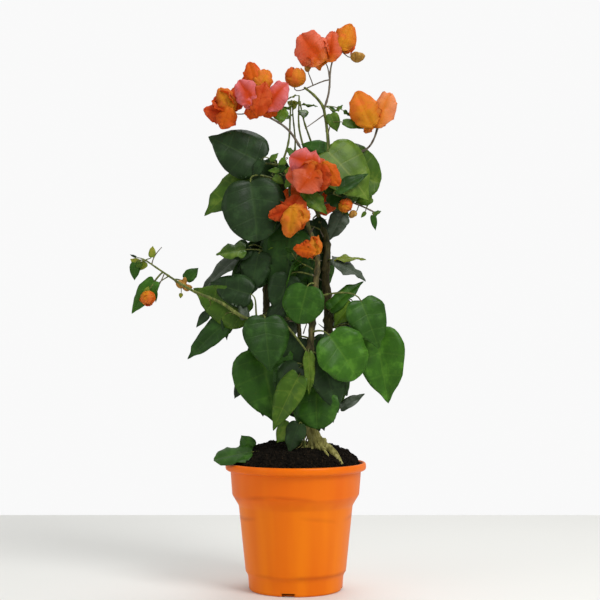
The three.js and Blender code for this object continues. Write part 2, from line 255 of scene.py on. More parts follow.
def heapMesh(name, heap, finish):
    return plainMesh(name, np.concatenate(heap["places"]), heap["faces"], finish)


def bladeMesh(name, heap, finish):
    # marks hold how far along and across its own blade each corner is, and whether it's the underside
    piece = heapMesh(name, heap, finish)
    marks = np.concatenate(heap["marks"])
    corners = np.array([loop.vertex_index for loop in piece.data.loops])
    grain = piece.data.uv_layers.new(name="bladeGrain")
    grain.data.foreach_set("uv", marks[corners, :2].ravel())
    under = piece.data.attributes.new("underside", "FLOAT", "POINT")
    under.data.foreach_set("value", marks[:, 2])
    return piece


def ringMesh(rings):
    # a skin through closed rings of places, each joined to the next; a ring of one place closes an end
    places, faces, lower = [], [], None
    for ring in rings:
        upper = range(len(places), len(places) + len(ring))
        places += list(ring)
        sides = max(len(lower), len(upper)) if lower else 0
        for side in range(sides):
            after = (side + 1) % sides
            if len(lower) == 1:
                faces.append((lower[0], upper[after], upper[side]))
            elif len(upper) == 1:
                faces.append((lower[side], lower[after], upper[0]))
            else:
                faces.append((lower[side], lower[after], upper[after], upper[side]))
        lower = upper
    return places, faces


def circle(radius, height, sides):
    turns = [2 * math.pi * side / sides for side in range(sides if radius else 1)]
    return [[radius * math.cos(turn), radius * math.sin(turn), height] for turn in turns]


def settle(piece):
    # turns a piece and its modifiers into one plain mesh
    bpy.context.view_layer.update()
    graph = bpy.context.evaluated_depsgraph_get()
    mesh = bpy.data.meshes.new_from_object(piece.evaluated_get(graph))
    piece.modifiers.clear()
    if piece.type == "MESH":
        piece.data = mesh
        return piece
    name = piece.name
    bpy.data.objects.remove(piece)
    return addObject(name, mesh)


# leaves and bracts are thin closed shells with a midrib, side veins and a wavy edge
leafShape = dict(rows=18, cols=8, lobe=0.10, tail=0.12, heavy=0.28, bendSpread=0.4, ribLag=1.8, fold=0.26,
                 cup=0.2, arch=0.2, veins=6, quilt=0.0010, ripple=0.0018, crinkle=0.0006, ragged=0.012,
                 groove=0.0006, thick=0.0004)
broadLeafShape = dict(leafShape, tail=0.0, lobe=0.08, heavy=0.12)
smallLeafShape = dict(leafShape, rows=10, cols=4, quilt=0.0005, ripple=0.0010, crinkle=0.0003, groove=0.0003)
bractShape = dict(rows=20, cols=12, bendSpread=0.4, lobe=0.05, tail=0.04, heavy=0.06, ribLag=1.5, fold=0.12,
                  cup=0.4, arch=0.42, veins=7, quilt=0.0009, ripple=0.0024, crinkle=0.0011, ragged=0.035,
                  groove=0.0004, thick=0.00025)
closedBractShape = dict(bractShape, arch=1.42, bendSpread=0.05, tail=0.02, cup=0.8, fold=0.0, ripple=0.0012,
                        crinkle=0.0009, ragged=0.02)
openBractShape = dict(bractShape, arch=0.4, cup=0.75, fold=0.3, ripple=0.0042, crinkle=0.0020, quilt=0.0014,
                      ragged=0.045, heavy=0.0, lobe=0.03)
wavePlan = dict(notches=(8, 15), swells=(5, 9), second=0.6, lag=1.2, creases=((13, 3), (-4, 5)), rim=0.3)
bladePlan = dict(trim=0.35, lobeSpread=0.3, tailSpread=0.24, uneven=(0.6, 1.4), ribWide=0.04, aside=0.05)


def bladeOutline(shape, turn, side, wobble):
    # half widths, and how far along each corner lies, for a blade of unit size
    hand = np.sign(side)
    low, high = wavePlan["notches"]
    notch = np.sin(low * turn + wobble[4] * hand)
    notch = notch + wavePlan["second"] * np.sin(high * turn + wobble[5] * hand)
    heavy, lobe, tail = shape["heavy"], shape["lobe"], shape["tail"]
    half = 0.5 * np.sin(turn) * (1 + heavy * np.cos(turn)) / (1 + bladePlan["trim"] * heavy ** 2)
    half = half * (1 + shape["ragged"] * notch)
    edge = (1 - tail + lobe) * (1 - np.cos(turn)) / 2 - lobe
    edge = edge + lobe * np.exp(-(turn / bladePlan["lobeSpread"]) ** 2)
    edge = edge + tail * np.exp(-((math.pi - turn) / bladePlan["tailSpread"]) ** 2)
    rib = ((1 - np.cos(turn)) / 2) ** shape["ribLag"]
    return half, rib + (edge - rib) * np.abs(side)


def bladeRelief(shape, turn, side, wobble, x, wide, some):
    # how far each corner stands off the plane of the blade
    hand, out = np.sign(side), np.abs(side)
    z = shape["fold"] * some[0] * np.abs(x) - shape["cup"] * some[1] * x ** 2 / (0.5 * wide)
    z = z + shape["quilt"] * np.abs(np.sin(shape["veins"] * turn)) * np.sin(math.pi * out)
    z = z - shape["groove"] * np.exp(-(x / (bladePlan["ribWide"] * wide)) ** 2) * np.sin(turn)
    low, high = wavePlan["swells"]
    wave = np.sin(low * turn + wobble[0] + wavePlan["lag"] * hand)
    wave = wave + wavePlan["second"] * np.sin(high * turn + wobble[1] * hand)
    crease = 1.0
    for (up, over), start in zip(wavePlan["creases"], wobble[2:4]):
        crease = crease * np.sin(up * turn + over * side + start)
    z = z + shape["crinkle"] * crease * np.sin(turn) * (wavePlan["rim"] + out)
    return z + shape["ripple"] * some[2] * wave * out ** 3 * np.sin(turn)


def bladeFaces(rows, cols):
    # the upper and the under sheet and the rim between them; each sheet ends with its foot and its tip
    wide, lastRow = cols + 1, (rows - 2) * (cols + 1)
    count = (rows - 1) * wide + 2
    foot, tip = count - 2, count - 1
    faces = []
    for row in range(rows - 2):
        for col in range(cols):
            first = row * wide + col
            faces.append((first, first + 1, first + wide + 1, first + wide))
    for col in range(cols):
        faces.append((foot, col + 1, col))
        faces.append((lastRow + col, lastRow + col + 1, tip))
    under = [tuple(corner + count for corner in reversed(face)) for face in faces]
    left, right = ([foot] + [row * wide + col for row in range(rows - 1)] + [tip] for col in (0, cols))
    rim = [(a, b, b + count, a + count) for a, b in zip(left, left[1:])]
    rim += [(b, a, a + count, b + count) for a, b in zip(right, right[1:])]
    return faces + under + rim


def asSheet(grid):
    # the rows of a blade as one list, and at its end the foot and the tip, each of them one corner
    size = grid.shape[-1]
    return np.concatenate([grid[1:-1].reshape(-1, size), grid[0, :1], grid[-1, :1]])


def addBlade(heap, base, along, normal, long, wide, shape, rng):
    rows, cols = shape["rows"], shape["cols"]
    turn = np.linspace(0, math.pi, rows + 1)[:, None]
    side = np.linspace(-1, 1, cols + 1)[None, :]
    wobble = rng.uniform(0, 2 * math.pi, 6)
    half, reach = bladeOutline(shape, turn, side, wobble)
    x, y = side * half * wide, reach * long
    some = rng.uniform(*bladePlan["uneven"], 3)
    bend = 2 * shape["arch"] * (1 + rng.uniform(-1, 1) * shape["bendSpread"])  # how far the blade turns over
    z = bladeRelief(shape, turn, side, wobble, x, wide, some)
    x = x + bladePlan["aside"] * math.sin(wobble[2]) * y ** 2 / long  # few blades are quite even
    across = np.cross(along, normal)
    over = (bend * y / long)[..., None]
    stand = normal * np.cos(over) + along * np.sin(over)
    run = (along * np.sin(over) - normal * (1 - np.cos(over))) * long / bend
    top = asSheet(base + x[..., None] * across + run + z[..., None] * stand)
    below = top - asSheet(shape["thick"] * stand)
    grain = np.stack(np.broadcast_arrays(0.5 + 0.5 * side, turn / math.pi), axis=-1)
    grain = asSheet(grain)
    grain[-2:, 0] = 0.5  # the foot and the tip lie on the midrib
    marks = [np.column_stack([grain, np.full(len(grain), under)]) for under in (0.0, 1.0)]
    addToHeap(heap, np.concatenate([top, below]), bladeFaces(rows, cols), np.concatenate(marks))


def feed(tree, node, inputs):
    # links each input, or gives it a value
    for label, value in inputs.items():
        socket = node.inputs[label]
        if isinstance(value, bpy.types.NodeSocket):
            tree.links.new(value, socket)
        else:
            socket.default_value = (*value, 1) if socket.type == "RGBA" else value


def addNode(tree, kind, inputs=None, **settings):
    node = tree.nodes.new(kind)
    for setting, value in settings.items():
        setattr(node, setting, value)
    feed(tree, node, inputs or {})
    return node


def newMaterial(name):
    finish = bpy.data.materials.new(name)
    finish.use_nodes = True
    return finish, finish.node_tree, finish.node_tree.nodes["Principled BSDF"]


def objectPlace(tree):
    return addNode(tree, "ShaderNodeTexCoord").outputs["Object"]


def partsOf(tree, vector):
    return addNode(tree, "ShaderNodeSeparateXYZ", {"Vector": vector}).outputs


def addNoise(tree, scale, detail, roughness=0.55, vector=None):
    return addNode(tree, "ShaderNodeTexNoise", {
        "Scale": scale, "Detail": detail, "Roughness": roughness,
        "Vector": vector or objectPlace(tree)}).outputs["Fac"]


def addStreaks(tree, squash, scale, detail, roughness):
    # noise drawn out along the height
    mapping = addNode(tree, "ShaderNodeMapping", {"Scale": (1, 1, squash), "Vector": objectPlace(tree)})
    return addNoise(tree, scale, detail, roughness, mapping.outputs["Vector"])


def addMaths(tree, kind, *values, clamp=False):
    node = addNode(tree, "ShaderNodeMath", dict(enumerate(values)), operation=kind, use_clamp=clamp)
    return node.outputs["Value"]


def addRamp(tree, source, stops):
    ramp = addNode(tree, "ShaderNodeValToRGB", {"Fac": source})
    band = ramp.color_ramp
    while len(band.elements) < len(stops):
        band.elements.new(0.5)
    for element, (place, colour) in zip(band.elements, stops):
        element.position = place
        element.color = (*colour, 1)
    return ramp.outputs["Color"]


def addTones(tree, source, places, tones):
    return addRamp(tree, source, [(place, srgb(*tone)) for place, tone in zip(places, tones)])


def addMask(tree, source, none, full):
    return addRamp(tree, source, sorted([(none, (0, 0, 0)), (full, (1, 1, 1))]))


def addMix(tree, share, first, second):
    return addNode(tree, "ShaderNodeMix", {0: share, 6: first, 7: second}, data_type="RGBA").outputs[2]


def tinted(tree, base, mask, strength, colour):
    return addMix(tree, addMaths(tree, "MULTIPLY", mask, strength), base, colour)


def addBump(tree, height, strength, distance, under=None):
    inputs = {"Strength": strength, "Distance": distance, "Height": height}
    if under:
        inputs["Normal"] = under
    return addNode(tree, "ShaderNodeBump", inputs).outputs["Normal"]


def dress(tree, shader, base, rough, sheen, normal=None):
    inputs = {"Base Color": base, "Roughness": rough, "Specular IOR Level": sheen}
    if normal:
        inputs["Normal"] = normal
    feed(tree, shader, inputs)


def srgb(red, green, blue):
    return tuple((value / 255 / 12.92) if value <= 10 else ((value / 255 + 0.055) / 1.055) ** 2.4
                 for value in (red, green, blue))


# finishes of leaves and bracts
leafLook = dict(veins=6, veinDepth=0.2, rough=0.3, glow=0.1, mottle=0.2)
bractLook = dict(veins=7, veinDepth=0.35, rough=0.5, glow=0.4, mottle=0.12)
grainPlan = dict(midrib=0.035, midribDepth=0.4, vein=0.22, patches=(62, 5), specks=(420, 2), pale=0.35,
                 stops=(0.36, 0.52, 0.66), furrow=0.8, bump=(0.5, 0.0003), dull=0.25, sheen=0.2)
# how far up the gold of a bract's foot fades out, and how its blush gathers towards the edge and the tip
marginPlan = dict(footEnd=0.46, footFull=0.08, foot=0.6, up=0.75, out=1.3, start=0.52, end=1.0, blush=0.8)


def addMargin(tree, base, middle, up, blush, foot):
    low = addMask(tree, up, marginPlan["footEnd"], marginPlan["footFull"])
    base = tinted(tree, base, low, marginPlan["foot"], foot)
    edge = addMaths(tree, "ADD", addMaths(tree, "MULTIPLY", middle, marginPlan["out"]),
                    addMaths(tree, "MULTIPLY", up, marginPlan["up"]))
    share = addMask(tree, edge, marginPlan["start"], marginPlan["end"])
    return tinted(tree, base, share, marginPlan["blush"], blush)


def bladeMaterial(name, tones, look):
    # colour with fine veins from the blade's own grain, a paler underside and light let through
    colour, rib, blush, *foot = [srgb(*tone) for tone in tones]
    finish, tree, shader = newMaterial(name)
    aside, up, _ = partsOf(tree, addNode(tree, "ShaderNodeUVMap", uv_map="bladeGrain").outputs["UV"])
    middle = addMaths(tree, "ABSOLUTE", addMaths(tree, "SUBTRACT", aside, 0.5))
    midrib = addMask(tree, middle, grainPlan["midrib"], 0.0)
    wave = addMaths(tree, "SINE", addMaths(tree, "MULTIPLY", up, look["veins"] * math.pi))
    veins = addMask(tree, addMaths(tree, "ABSOLUTE", wave), grainPlan["vein"], 0.0)
    patches = addNoise(tree, *grainPlan["patches"])
    deep = tuple(value * (1 - look["mottle"]) for value in colour)
    light = tuple(min(1, value * (1 + look["mottle"])) for value in blush)
    base = addRamp(tree, patches, list(zip(grainPlan["stops"], (deep, colour, light))))
    if foot:
        base = addMargin(tree, base, middle, up, blush, *foot)
    base = tinted(tree, base, veins, look["veinDepth"], rib)
    base = tinted(tree, base, midrib, grainPlan["midribDepth"], rib)
    pale = tuple((value + other) / 2 for value, other in zip(rib, colour))
    under = addNode(tree, "ShaderNodeAttribute", attribute_name="underside").outputs["Fac"]
    base = addMix(tree, under, base, addMix(tree, grainPlan["pale"], base, pale))
    height = addNoise(tree, *grainPlan["specks"])
    for line in (veins, midrib):
        height = addMaths(tree, "SUBTRACT", height, addMaths(tree, "MULTIPLY", line, grainPlan["furrow"]))
    dress(tree, shader, base, addMaths(tree, "MULTIPLY_ADD", patches, grainPlan["dull"], look["rough"]),
          grainPlan["sheen"], addBump(tree, height, *grainPlan["bump"]))
    glow = addNode(tree, "ShaderNodeBsdfTranslucent", {"Color": colour})
    mix = addNode(tree, "ShaderNodeMixShader", {
        0: look["glow"], 1: shader.outputs["BSDF"], 2: glow.outputs["BSDF"]})
    feed(tree, tree.nodes["Material Output"], {"Surface": mix.outputs["Shader"]})
    return finish


# each tone's colour, its ribs and its blush, and a bract's foot, as red, green and blue out of 255
# the dark and deep tones are partly painted shade, given to leaves that lie in shade inside the bush, and the
# bright and pale ones partly painted light on leaves that face it, beside the leaves' own difference of age
leafTones = {
    "dark": ((33, 55, 24), (58, 82, 38), (40, 64, 30)),
    "deep": ((37, 69, 19), (66, 98, 34), (48, 82, 28)),
    "middle": ((46, 86, 18), (82, 118, 36), (60, 100, 28)),
    "bright": ((64, 96, 20), (118, 136, 46), (88, 112, 34)),
    "lush": ((56, 102, 20), (92, 134, 40), (72, 118, 30)),
    "fresh": ((86, 120, 28), (128, 148, 52), (108, 136, 38)),
    "young": ((116, 132, 34), (150, 160, 66), (140, 136, 40)),
    "grey": ((62, 74, 56), (94, 104, 82), (84, 92, 80)),
    # pale is partly a painted highlight: the light green of a glossy leaf that faces the light
    "pale": ((82, 110, 28), (146, 156, 72), (92, 117, 36)),
}
bractFoot = (234, 160, 34)
bractTones = {
    "orange": ((230, 114, 10), (206, 80, 4), (228, 98, 32), bractFoot),
    "gold": ((232, 156, 28), (218, 112, 12), (236, 126, 48), bractFoot),
    "coral": ((224, 88, 12), (204, 66, 6), (240, 130, 98), bractFoot),
    "pink": ((222, 76, 16), (206, 62, 14), (244, 142, 148), (232, 104, 30)),
    # ember is a darker red-orange, partly the bracts' own red and partly painted shade, given to bracts that
    # lie in shade within the bunches
    "ember": ((212, 68, 6), (184, 46, 2), (226, 100, 42), (228, 116, 22)),
    "peach": ((238, 148, 52), (226, 118, 30), (244, 166, 120), bractFoot),
}
leafFinishes = {tone: bladeMaterial("leaf_" + tone, tones, leafLook) for tone, tones in leafTones.items()}
bractFinishes = {tone: bladeMaterial("bract_" + tone, tones, bractLook) for tone, tones in bractTones.items()}


# finishes of limbs, pot and soil
barkPlan = dict(squash=0.25, detail=(6, 0.6), patches=(35, 3), shade=0.5, stops=(0.32, 0.5, 0.68),
                greenRise=8.0, greenStops=(0.3, 0.7), greens=((66, 76, 30), (112, 122, 58)),
                rough=0.75, sheen=0.3, bump=(0.6, 0.0006))
barkTones = {  # colour, shade and light, the streaks' scale, and the height above which it is green and young
    "stem_bark": ((78, 72, 36), (40, 36, 16), (126, 114, 66), 260, 0.40),
    "root_bark": ((142, 138, 70), (84, 78, 36), (196, 190, 124), 240, None),
    "green_shoot": ((96, 106, 44), (60, 64, 30), (138, 144, 74), 300, None),
    "twig": ((106, 96, 82), (72, 62, 50), (140, 132, 112), 320, None),
    "bud": ((170, 120, 44), (124, 88, 32), (196, 158, 76), 340, None),
    "tube_flower": ((214, 150, 70), (190, 96, 40), (228, 200, 130), 340, None),
}


def barkMaterial(name):
    # streaks that run up the limb
    colour, shade, light, scale, greenFrom = barkTones[name]
    finish, tree, shader = newMaterial(name)
    streaks = addStreaks(tree, barkPlan["squash"], scale, *barkPlan["detail"])
    base = addTones(tree, streaks, barkPlan["stops"], (shade, colour, light))
    base = tinted(tree, base, addNoise(tree, *barkPlan["patches"]), barkPlan["shade"], srgb(*shade))
    if greenFrom:
        rise = addMaths(tree, "SUBTRACT", partsOf(tree, objectPlace(tree))["Z"], greenFrom)
        rise = addMaths(tree, "MULTIPLY", rise, barkPlan["greenRise"], clamp=True)
        base = addMix(tree, rise, base, addTones(tree, streaks, barkPlan["greenStops"], barkPlan["greens"]))
    dress(tree, shader, base, barkPlan["rough"], barkPlan["sheen"], addBump(tree, streaks, *barkPlan["bump"]))
    return finish


barkFinishes = {name: barkMaterial(name) for name in barkTones}

# mould lines: height, swing and number of waves, and where the first wave starts
potLook = dict(sheenStreaks=(0.05, 34, 2, 0.5), stops=(0.4, 0.6), tones=((232, 112, 0), (239, 124, 0)),
               band=(0.098, 0.112), bandShare=0.5, bandTone=(232, 98, 0),
               lines=((0.113, 0.0028, 3, 0.9), (0.090, 0.0032, 3, 0.5), (0.022, 0.0, 1, 0.0)),
               lineWide=0.0007, lineShadeShare=0.42, lineShadeTone=(176, 64, 2), lineBump=(0.5, 0.0006),
               patchy=(14, 2), patchyStops=(0.42, 0.56), fine=(900, 3), fineBump=(0.08, 0.0002),
               broad=(9, 2), dull=0.2, rough=0.3, sheen=0.16)


def mouldLines(tree, across, deep, up):
    angle = addMaths(tree, "ARCTAN2", deep, across)
    lines = 0.0
    for height, swing, waves, phase in potLook["lines"]:
        swell = addMaths(tree, "SINE", addMaths(tree, "MULTIPLY_ADD", angle, waves, phase))
        level = addMaths(tree, "MULTIPLY_ADD", swell, swing, height)
        gap = addMaths(tree, "ABSOLUTE", addMaths(tree, "SUBTRACT", up, level))
        lines = addMaths(tree, "ADD", addMask(tree, gap, potLook["lineWide"], 0.0), lines)
    # the lines, their bump and their painted shade alike, come and go in patches
    patchy = addMask(tree, addNoise(tree, *potLook["patchy"]), *potLook["patchyStops"])
    return addMaths(tree, "MULTIPLY", lines, patchy)


def potMaterial():
    finish, tree, shader = newMaterial("orange_plastic")
    across, deep, up = partsOf(tree, objectPlace(tree))
    streaks = addStreaks(tree, *potLook["sheenStreaks"])  # faint lighter and darker streaks down the wall, painted sheen
    base = addTones(tree, streaks, potLook["stops"], potLook["tones"])
    band = addMask(tree, up, *potLook["band"])
    base = tinted(tree, base, band, potLook["bandShare"], srgb(*potLook["bandTone"]))
    # the mould lines are bumped in, and painted darker as painted shade in their creases
    lines = mouldLines(tree, across, deep, up)
    base = tinted(tree, base, lines, potLook["lineShadeShare"], srgb(*potLook["lineShadeTone"]))
    broad = addNoise(tree, *potLook["broad"])
    rough = addMaths(tree, "MULTIPLY_ADD", broad, potLook["dull"], potLook["rough"])
    fine = addBump(tree, addNoise(tree, *potLook["fine"]), *potLook["fineBump"])
    height = addMaths(tree, "SUBTRACT", 1.0, lines)
    dress(tree, shader, base, rough, potLook["sheen"], addBump(tree, height, *potLook["lineBump"], fine))
    return finish


soilLook = dict(clumps=(160, 6, 0.65), stops=(0.38, 0.6, 0.78), tones=((9, 7, 4), (26, 21, 14), (56, 42, 28)),
                flecks=(600, 2), fleckStops=(0.66, 0.72), fleckShare=0.4, fleckTone=(112, 86, 58),
                rough=0.95, sheen=0.1, bump=(0.8, 0.002))


def soilMaterial():
    finish, tree, shader = newMaterial("potting_soil")
    clumps = addNoise(tree, *soilLook["clumps"])
    base = addTones(tree, clumps, soilLook["stops"], soilLook["tones"])
    flecks = addMask(tree, addNoise(tree, *soilLook["flecks"]), *soilLook["fleckStops"])
    base = tinted(tree, base, flecks, soilLook["fleckShare"], srgb(*soilLook["fleckTone"]))
    dress(tree, shader, base, soilLook["rough"], soilLook["sheen"], addBump(tree, clumps, *soilLook["bump"]))
    return finish


# radius and height of the outside, as shares of the rim and the height, from the middle of the foot; the
# last rows turn in over the lip, and the inside follows the outside below the row insideFrom
potOutline = [
    (0.000, 0.000), (0.640, 0.000), (0.655, 0.004), (0.664, 0.014), (0.6655, 0.0295), (0.667, 0.036),
    (0.676, 0.104), (0.681, 0.114), (0.700, 0.136), (0.713, 0.146), (0.716, 0.160), (0.808, 0.650),
    (0.812, 0.662), (0.820, 0.672), (0.892, 0.738), (0.901, 0.748), (0.905, 0.762), (0.928, 0.930),
    (0.932, 0.936), (0.975, 0.940), (0.992, 0.946), (1.000, 0.957), (1.000, 0.982), (0.994, 0.993),
    (0.982, 0.999), (0.968, 1.000), (0.955, 0.996), (0.950, 0.988), (0.948, 0.975), (0.914, 0.940),
]
potPlan = dict(sides=144, wall=0.0016, insideFrom=17, slotWide=0.015, slotHigh=0.0042, slotDeep=0.012,
               slotOut=0.66, slotFirst=261, slotCount=4)
warpPlan = dict(swell=0.0022, waves=2, start=0.6, ripple=0.0009, ripples=5, lean=7)


def warped(place, tall):
    # the thin wall is never quite true, least of all at the lip
    angle, share = math.atan2(place[1], place[0]), place[2] / tall
    swell = warpPlan["swell"] * share * math.sin(warpPlan["waves"] * angle + warpPlan["start"])
    swell += 1 + warpPlan["ripple"] * math.sin(warpPlan["ripples"] * angle + warpPlan["lean"] * share)
    return [place[0] * swell, place[1] * swell, place[2]]


def slotCutter(rim):
    cutters = bmesh.new()
    for index in range(potPlan["slotCount"]):
        angle = math.radians(potPlan["slotFirst"] + 360 / potPlan["slotCount"] * index)
        made = bmesh.ops.create_cube(cutters, size=1)["verts"]
        size = potPlan["slotDeep"], potPlan["slotWide"], 2 * potPlan["slotHigh"]
        bmesh.ops.scale(cutters, verts=made, vec=size)
        bmesh.ops.translate(cutters, verts=made, vec=(potPlan["slotOut"] * rim, 0, 0))
        bmesh.ops.rotate(cutters, verts=made, cent=(0, 0, 0), matrix=Matrix.Rotation(angle, 3, "Z"))
    mesh = bpy.data.meshes.new("slots")
    cutters.to_mesh(mesh)
    cutters.free()
    return addObject("slots", mesh)


def makePot():
    rim, _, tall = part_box("pot")[1]
    wall = potPlan["wall"]
    inside = [(radius * rim - wall, max(height * tall, wall))
              for radius, height in potOutline[potPlan["insideFrom"]:0:-1]]
    profile = [(radius * rim, height * tall) for radius, height in potOutline] + inside + [(0.0, wall)]
    places, faces = ringMesh([circle(radius, height, potPlan["sides"]) for radius, height in profile])
    pot = plainMesh("grower_pot", [warped(place, tall) for place in places], faces, potMaterial())
    cutter = slotCutter(rim)
    slots = pot.modifiers.new("slots", "BOOLEAN")
    slots.operation = "DIFFERENCE"
    slots.object = cutter
    settle(pot)
    bpy.data.objects.remove(cutter)
    return pot


pot = makePot()
print("pot made:", len(pot.data.polygons), "faces")


soilPlan = dict(sides=96, rings=40, gap=0.0015, inward=0.97, level=0.167, clumps=0.0022, edgeClumps=0.3,
                noises=((90, 1.0), (240, 0.6), (600, 0.35)),
                skirt=((0.985, 0.135), (0.9, 0.105), (0.72, 0.004)))
soilTree = treeOf(trianglesOf("soil"))


def soilLevel(x, y):
    hit = soilTree.ray_cast(Vector((x, y, 1.0)), Vector((0, 0, -1)))[0]
    return hit[2] if hit else None


def heaped(x, y, clumps):
    inward = soilPlan["inward"]  # a ray that just misses the solid takes its level from a little further in
    level = soilLevel(x, y) or soilLevel(inward * x, inward * y) or soilPlan["level"]
    spot = Vector((x, y, level))
    lump = sum(share * noise.noise(spot * scale) for scale, share in soilPlan["noises"])
    return [x, y, level + clumps * lump]


def makeSoil():
    # the heap in rings from its middle to its edge, then a skirt down inside the pot, and its flat underside
    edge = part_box("soil")[1][0] - soilPlan["gap"]
    sides, count = soilPlan["sides"], soilPlan["rings"]
    rings = []
    for ring in range(count + 1):
        clumps = soilPlan["clumps"] * (1 if ring < count else soilPlan["edgeClumps"])
        rings.append([heaped(x, y, clumps) for x, y, _ in circle(edge * ring / count, 0.0, sides)])
    rings += [circle(edge * share, height, sides) for share, height in soilPlan["skirt"]]
    places, faces = ringMesh(rings)
    faces = [face[:1] + face[:0:-1] for face in faces]  # turned over, as the rings run outwards and down
    faces.append(tuple(reversed(range(len(places) - sides, len(places)))))
    return plainMesh("soil_heap", places, faces, soilMaterial())


def addTree(name, sockets):
    tree = bpy.data.node_groups.new(name, "GeometryNodeTree")
    for side in ("INPUT", "OUTPUT"):
        tree.interface.new_socket("Geometry", in_out=side, socket_type="NodeSocketGeometry")
    for label, kind, value in sockets + [("Finish", "Material", None)]:
        socket = tree.interface.new_socket(label, in_out="INPUT", socket_type="NodeSocket" + kind)
        if value is not None:
            socket.default_value = value
    return tree, addNode(tree, "NodeGroupInput").outputs


def endTree(tree, given, geometry):
    # makes everything real, moves each corner by a little noise, and gives it its finish
    real = addNode(tree, "GeometryNodeRealizeInstances", {"Geometry": geometry})
    rough = addNode(tree, "ShaderNodeTexNoise", {"Scale": given["Grain"]})
    offset = addNode(tree, "ShaderNodeVectorMath", {0: rough.outputs["Color"], 1: (0.5, 0.5, 0.5)},
                     operation="SUBTRACT")
    offset = addNode(tree, "ShaderNodeVectorMath", {
        0: offset.outputs["Vector"], "Scale": given["Unevenness"]}, operation="SCALE")
    moved = addNode(tree, "GeometryNodeSetPosition", {
        "Geometry": real.outputs["Geometry"], "Offset": offset.outputs["Vector"]})
    paint = addNode(tree, "GeometryNodeSetMaterial", {
        "Geometry": moved.outputs["Geometry"], "Material": given["Finish"]})
    addNode(tree, "NodeGroupOutput", {"Geometry": paint.outputs["Geometry"]})
    return tree


def crumbTree():
    # small lumps dropped over a surface, each of its own size and turn
    tree, given = addTree("soilCrumbs", [
        ("Crumbs per square metre", "Float", 240000.0), ("Smallest", "Float", 0.4), ("Largest", "Float", 2.4),
        ("Crumb radius", "Float", 0.001), ("Steepest", "Float", 0.35), ("Grain", "Float", 700.0),
        ("Unevenness", "Float", 0.0016), ("Most turn", "Vector", (6.28, 6.28, 6.28)), ("Seed", "Int", 1)])
    normal = addNode(tree, "GeometryNodeInputNormal").outputs["Normal"]
    level = addNode(tree, "FunctionNodeCompare", {"A": partsOf(tree, normal)["Z"], "B": given["Steepest"]})
    scatter = addNode(tree, "GeometryNodeDistributePointsOnFaces", {
        "Mesh": given["Geometry"], "Density": given["Crumbs per square metre"], "Seed": given["Seed"],
        "Selection": level.outputs["Result"]})
    lump = addNode(tree, "GeometryNodeMeshIcoSphere", {"Subdivisions": 1, "Radius": given["Crumb radius"]})
    turn = addNode(tree, "FunctionNodeRandomValue", {"Max": given["Most turn"]}, data_type="FLOAT_VECTOR")
    size = addNode(tree, "FunctionNodeRandomValue", {
        2: given["Smallest"], 3: given["Largest"], "Seed": given["Seed"]}, data_type="FLOAT")
    grow = addNode(tree, "GeometryNodeInstanceOnPoints", {
        "Points": scatter.outputs["Points"], "Instance": lump.outputs["Mesh"],
        "Rotation": turn.outputs[0], "Scale": size.outputs[1]})
    return endTree(tree, given, grow.outputs["Instances"])


def addModifier(piece, tree, values):
    # a tree on a piece, its inputs set by their own identifiers, and the result as one plain mesh
    modifier = piece.modifiers.new(tree.name, "NODES")
    modifier.node_group = tree
    for item in tree.interface.items_tree:
        if item.in_out == "INPUT" and item.name in values:
            modifier[item.identifier] = values[item.name]
    return settle(piece)


soil = makeSoil()
crumbs = addModifier(addObject("soil_crumbs", soil.data.copy()), crumbTree(),
                     {"Seed": 11, "Finish": soil.data.materials[0]})
print("soil made:", len(crumbs.data.polygons), "crumb faces")


tubePlan = dict(aside=(0.3, 0.9, 0.2), squash=0.35, fine=2.3, fineShare=0.5, knotTurn=0.8, knotEdge=8,
                foot=0.4, tip=0.8, passes=4, fewest=4)
stemRelief = dict(scale=520, depth=0.16, knot=0.28, every=14)
shootRelief = dict(scale=600, depth=0.07, knot=0.22, every=9)
crownRelief = dict(scale=420, depth=0.26, knot=0.0, every=9)


def barkTube(line, radii, sides, relief, seed):
    # a closed tube round a line, with ridges that run along it and swellings where leaves have been
    tangents = np.gradient(line, axis=0)
    tangents = tangents / np.linalg.norm(tangents, axis=1)[:, None]
    across = unit(np.cross(tangents[0], tubePlan["aside"]))
    rings = [[line[0] - tangents[0] * radii[0] * tubePlan["foot"]]]
    for index, (centre, tangent, radius) in enumerate(zip(line, tangents, radii)):
        across = squared(across, tangent)
        third = np.cross(tangent, across)
        swell = math.cos(2 * math.pi * index / relief["every"] + tubePlan["knotTurn"] * seed)
        knot = relief["knot"] * max(0.0, swell) ** tubePlan["knotEdge"]
        ring = []
        for angle in (2 * math.pi * corner / sides for corner in range(sides)):
            ray = across * math.cos(angle) + third * math.sin(angle)
            spot = Vector(centre * (1, 1, tubePlan["squash"]) + ray * radius) * relief["scale"]
            spot += Vector((seed, 0, 0))
            ridge = noise.noise(spot) + tubePlan["fineShare"] * noise.noise(spot * tubePlan["fine"])
            ring.append(centre + ray * radius * (1 + relief["depth"] * ridge + knot))
        rings.append(ring)
    rings.append([line[-1] + tangents[-1] * radii[-1] * tubePlan["tip"]])
    return ringMesh(rings)


def resampled(line, radii, step):
    lengths = np.concatenate([[0], np.cumsum(np.linalg.norm(np.diff(line, axis=0), axis=1))])
    marks = np.linspace(0, lengths[-1], max(tubePlan["fewest"], int(lengths[-1] / step) + 1))
    fine = np.column_stack([np.interp(marks, lengths, line[:, axis]) for axis in range(3)])
    return rounded(fine, tubePlan["passes"]), np.interp(marks, lengths, radii)


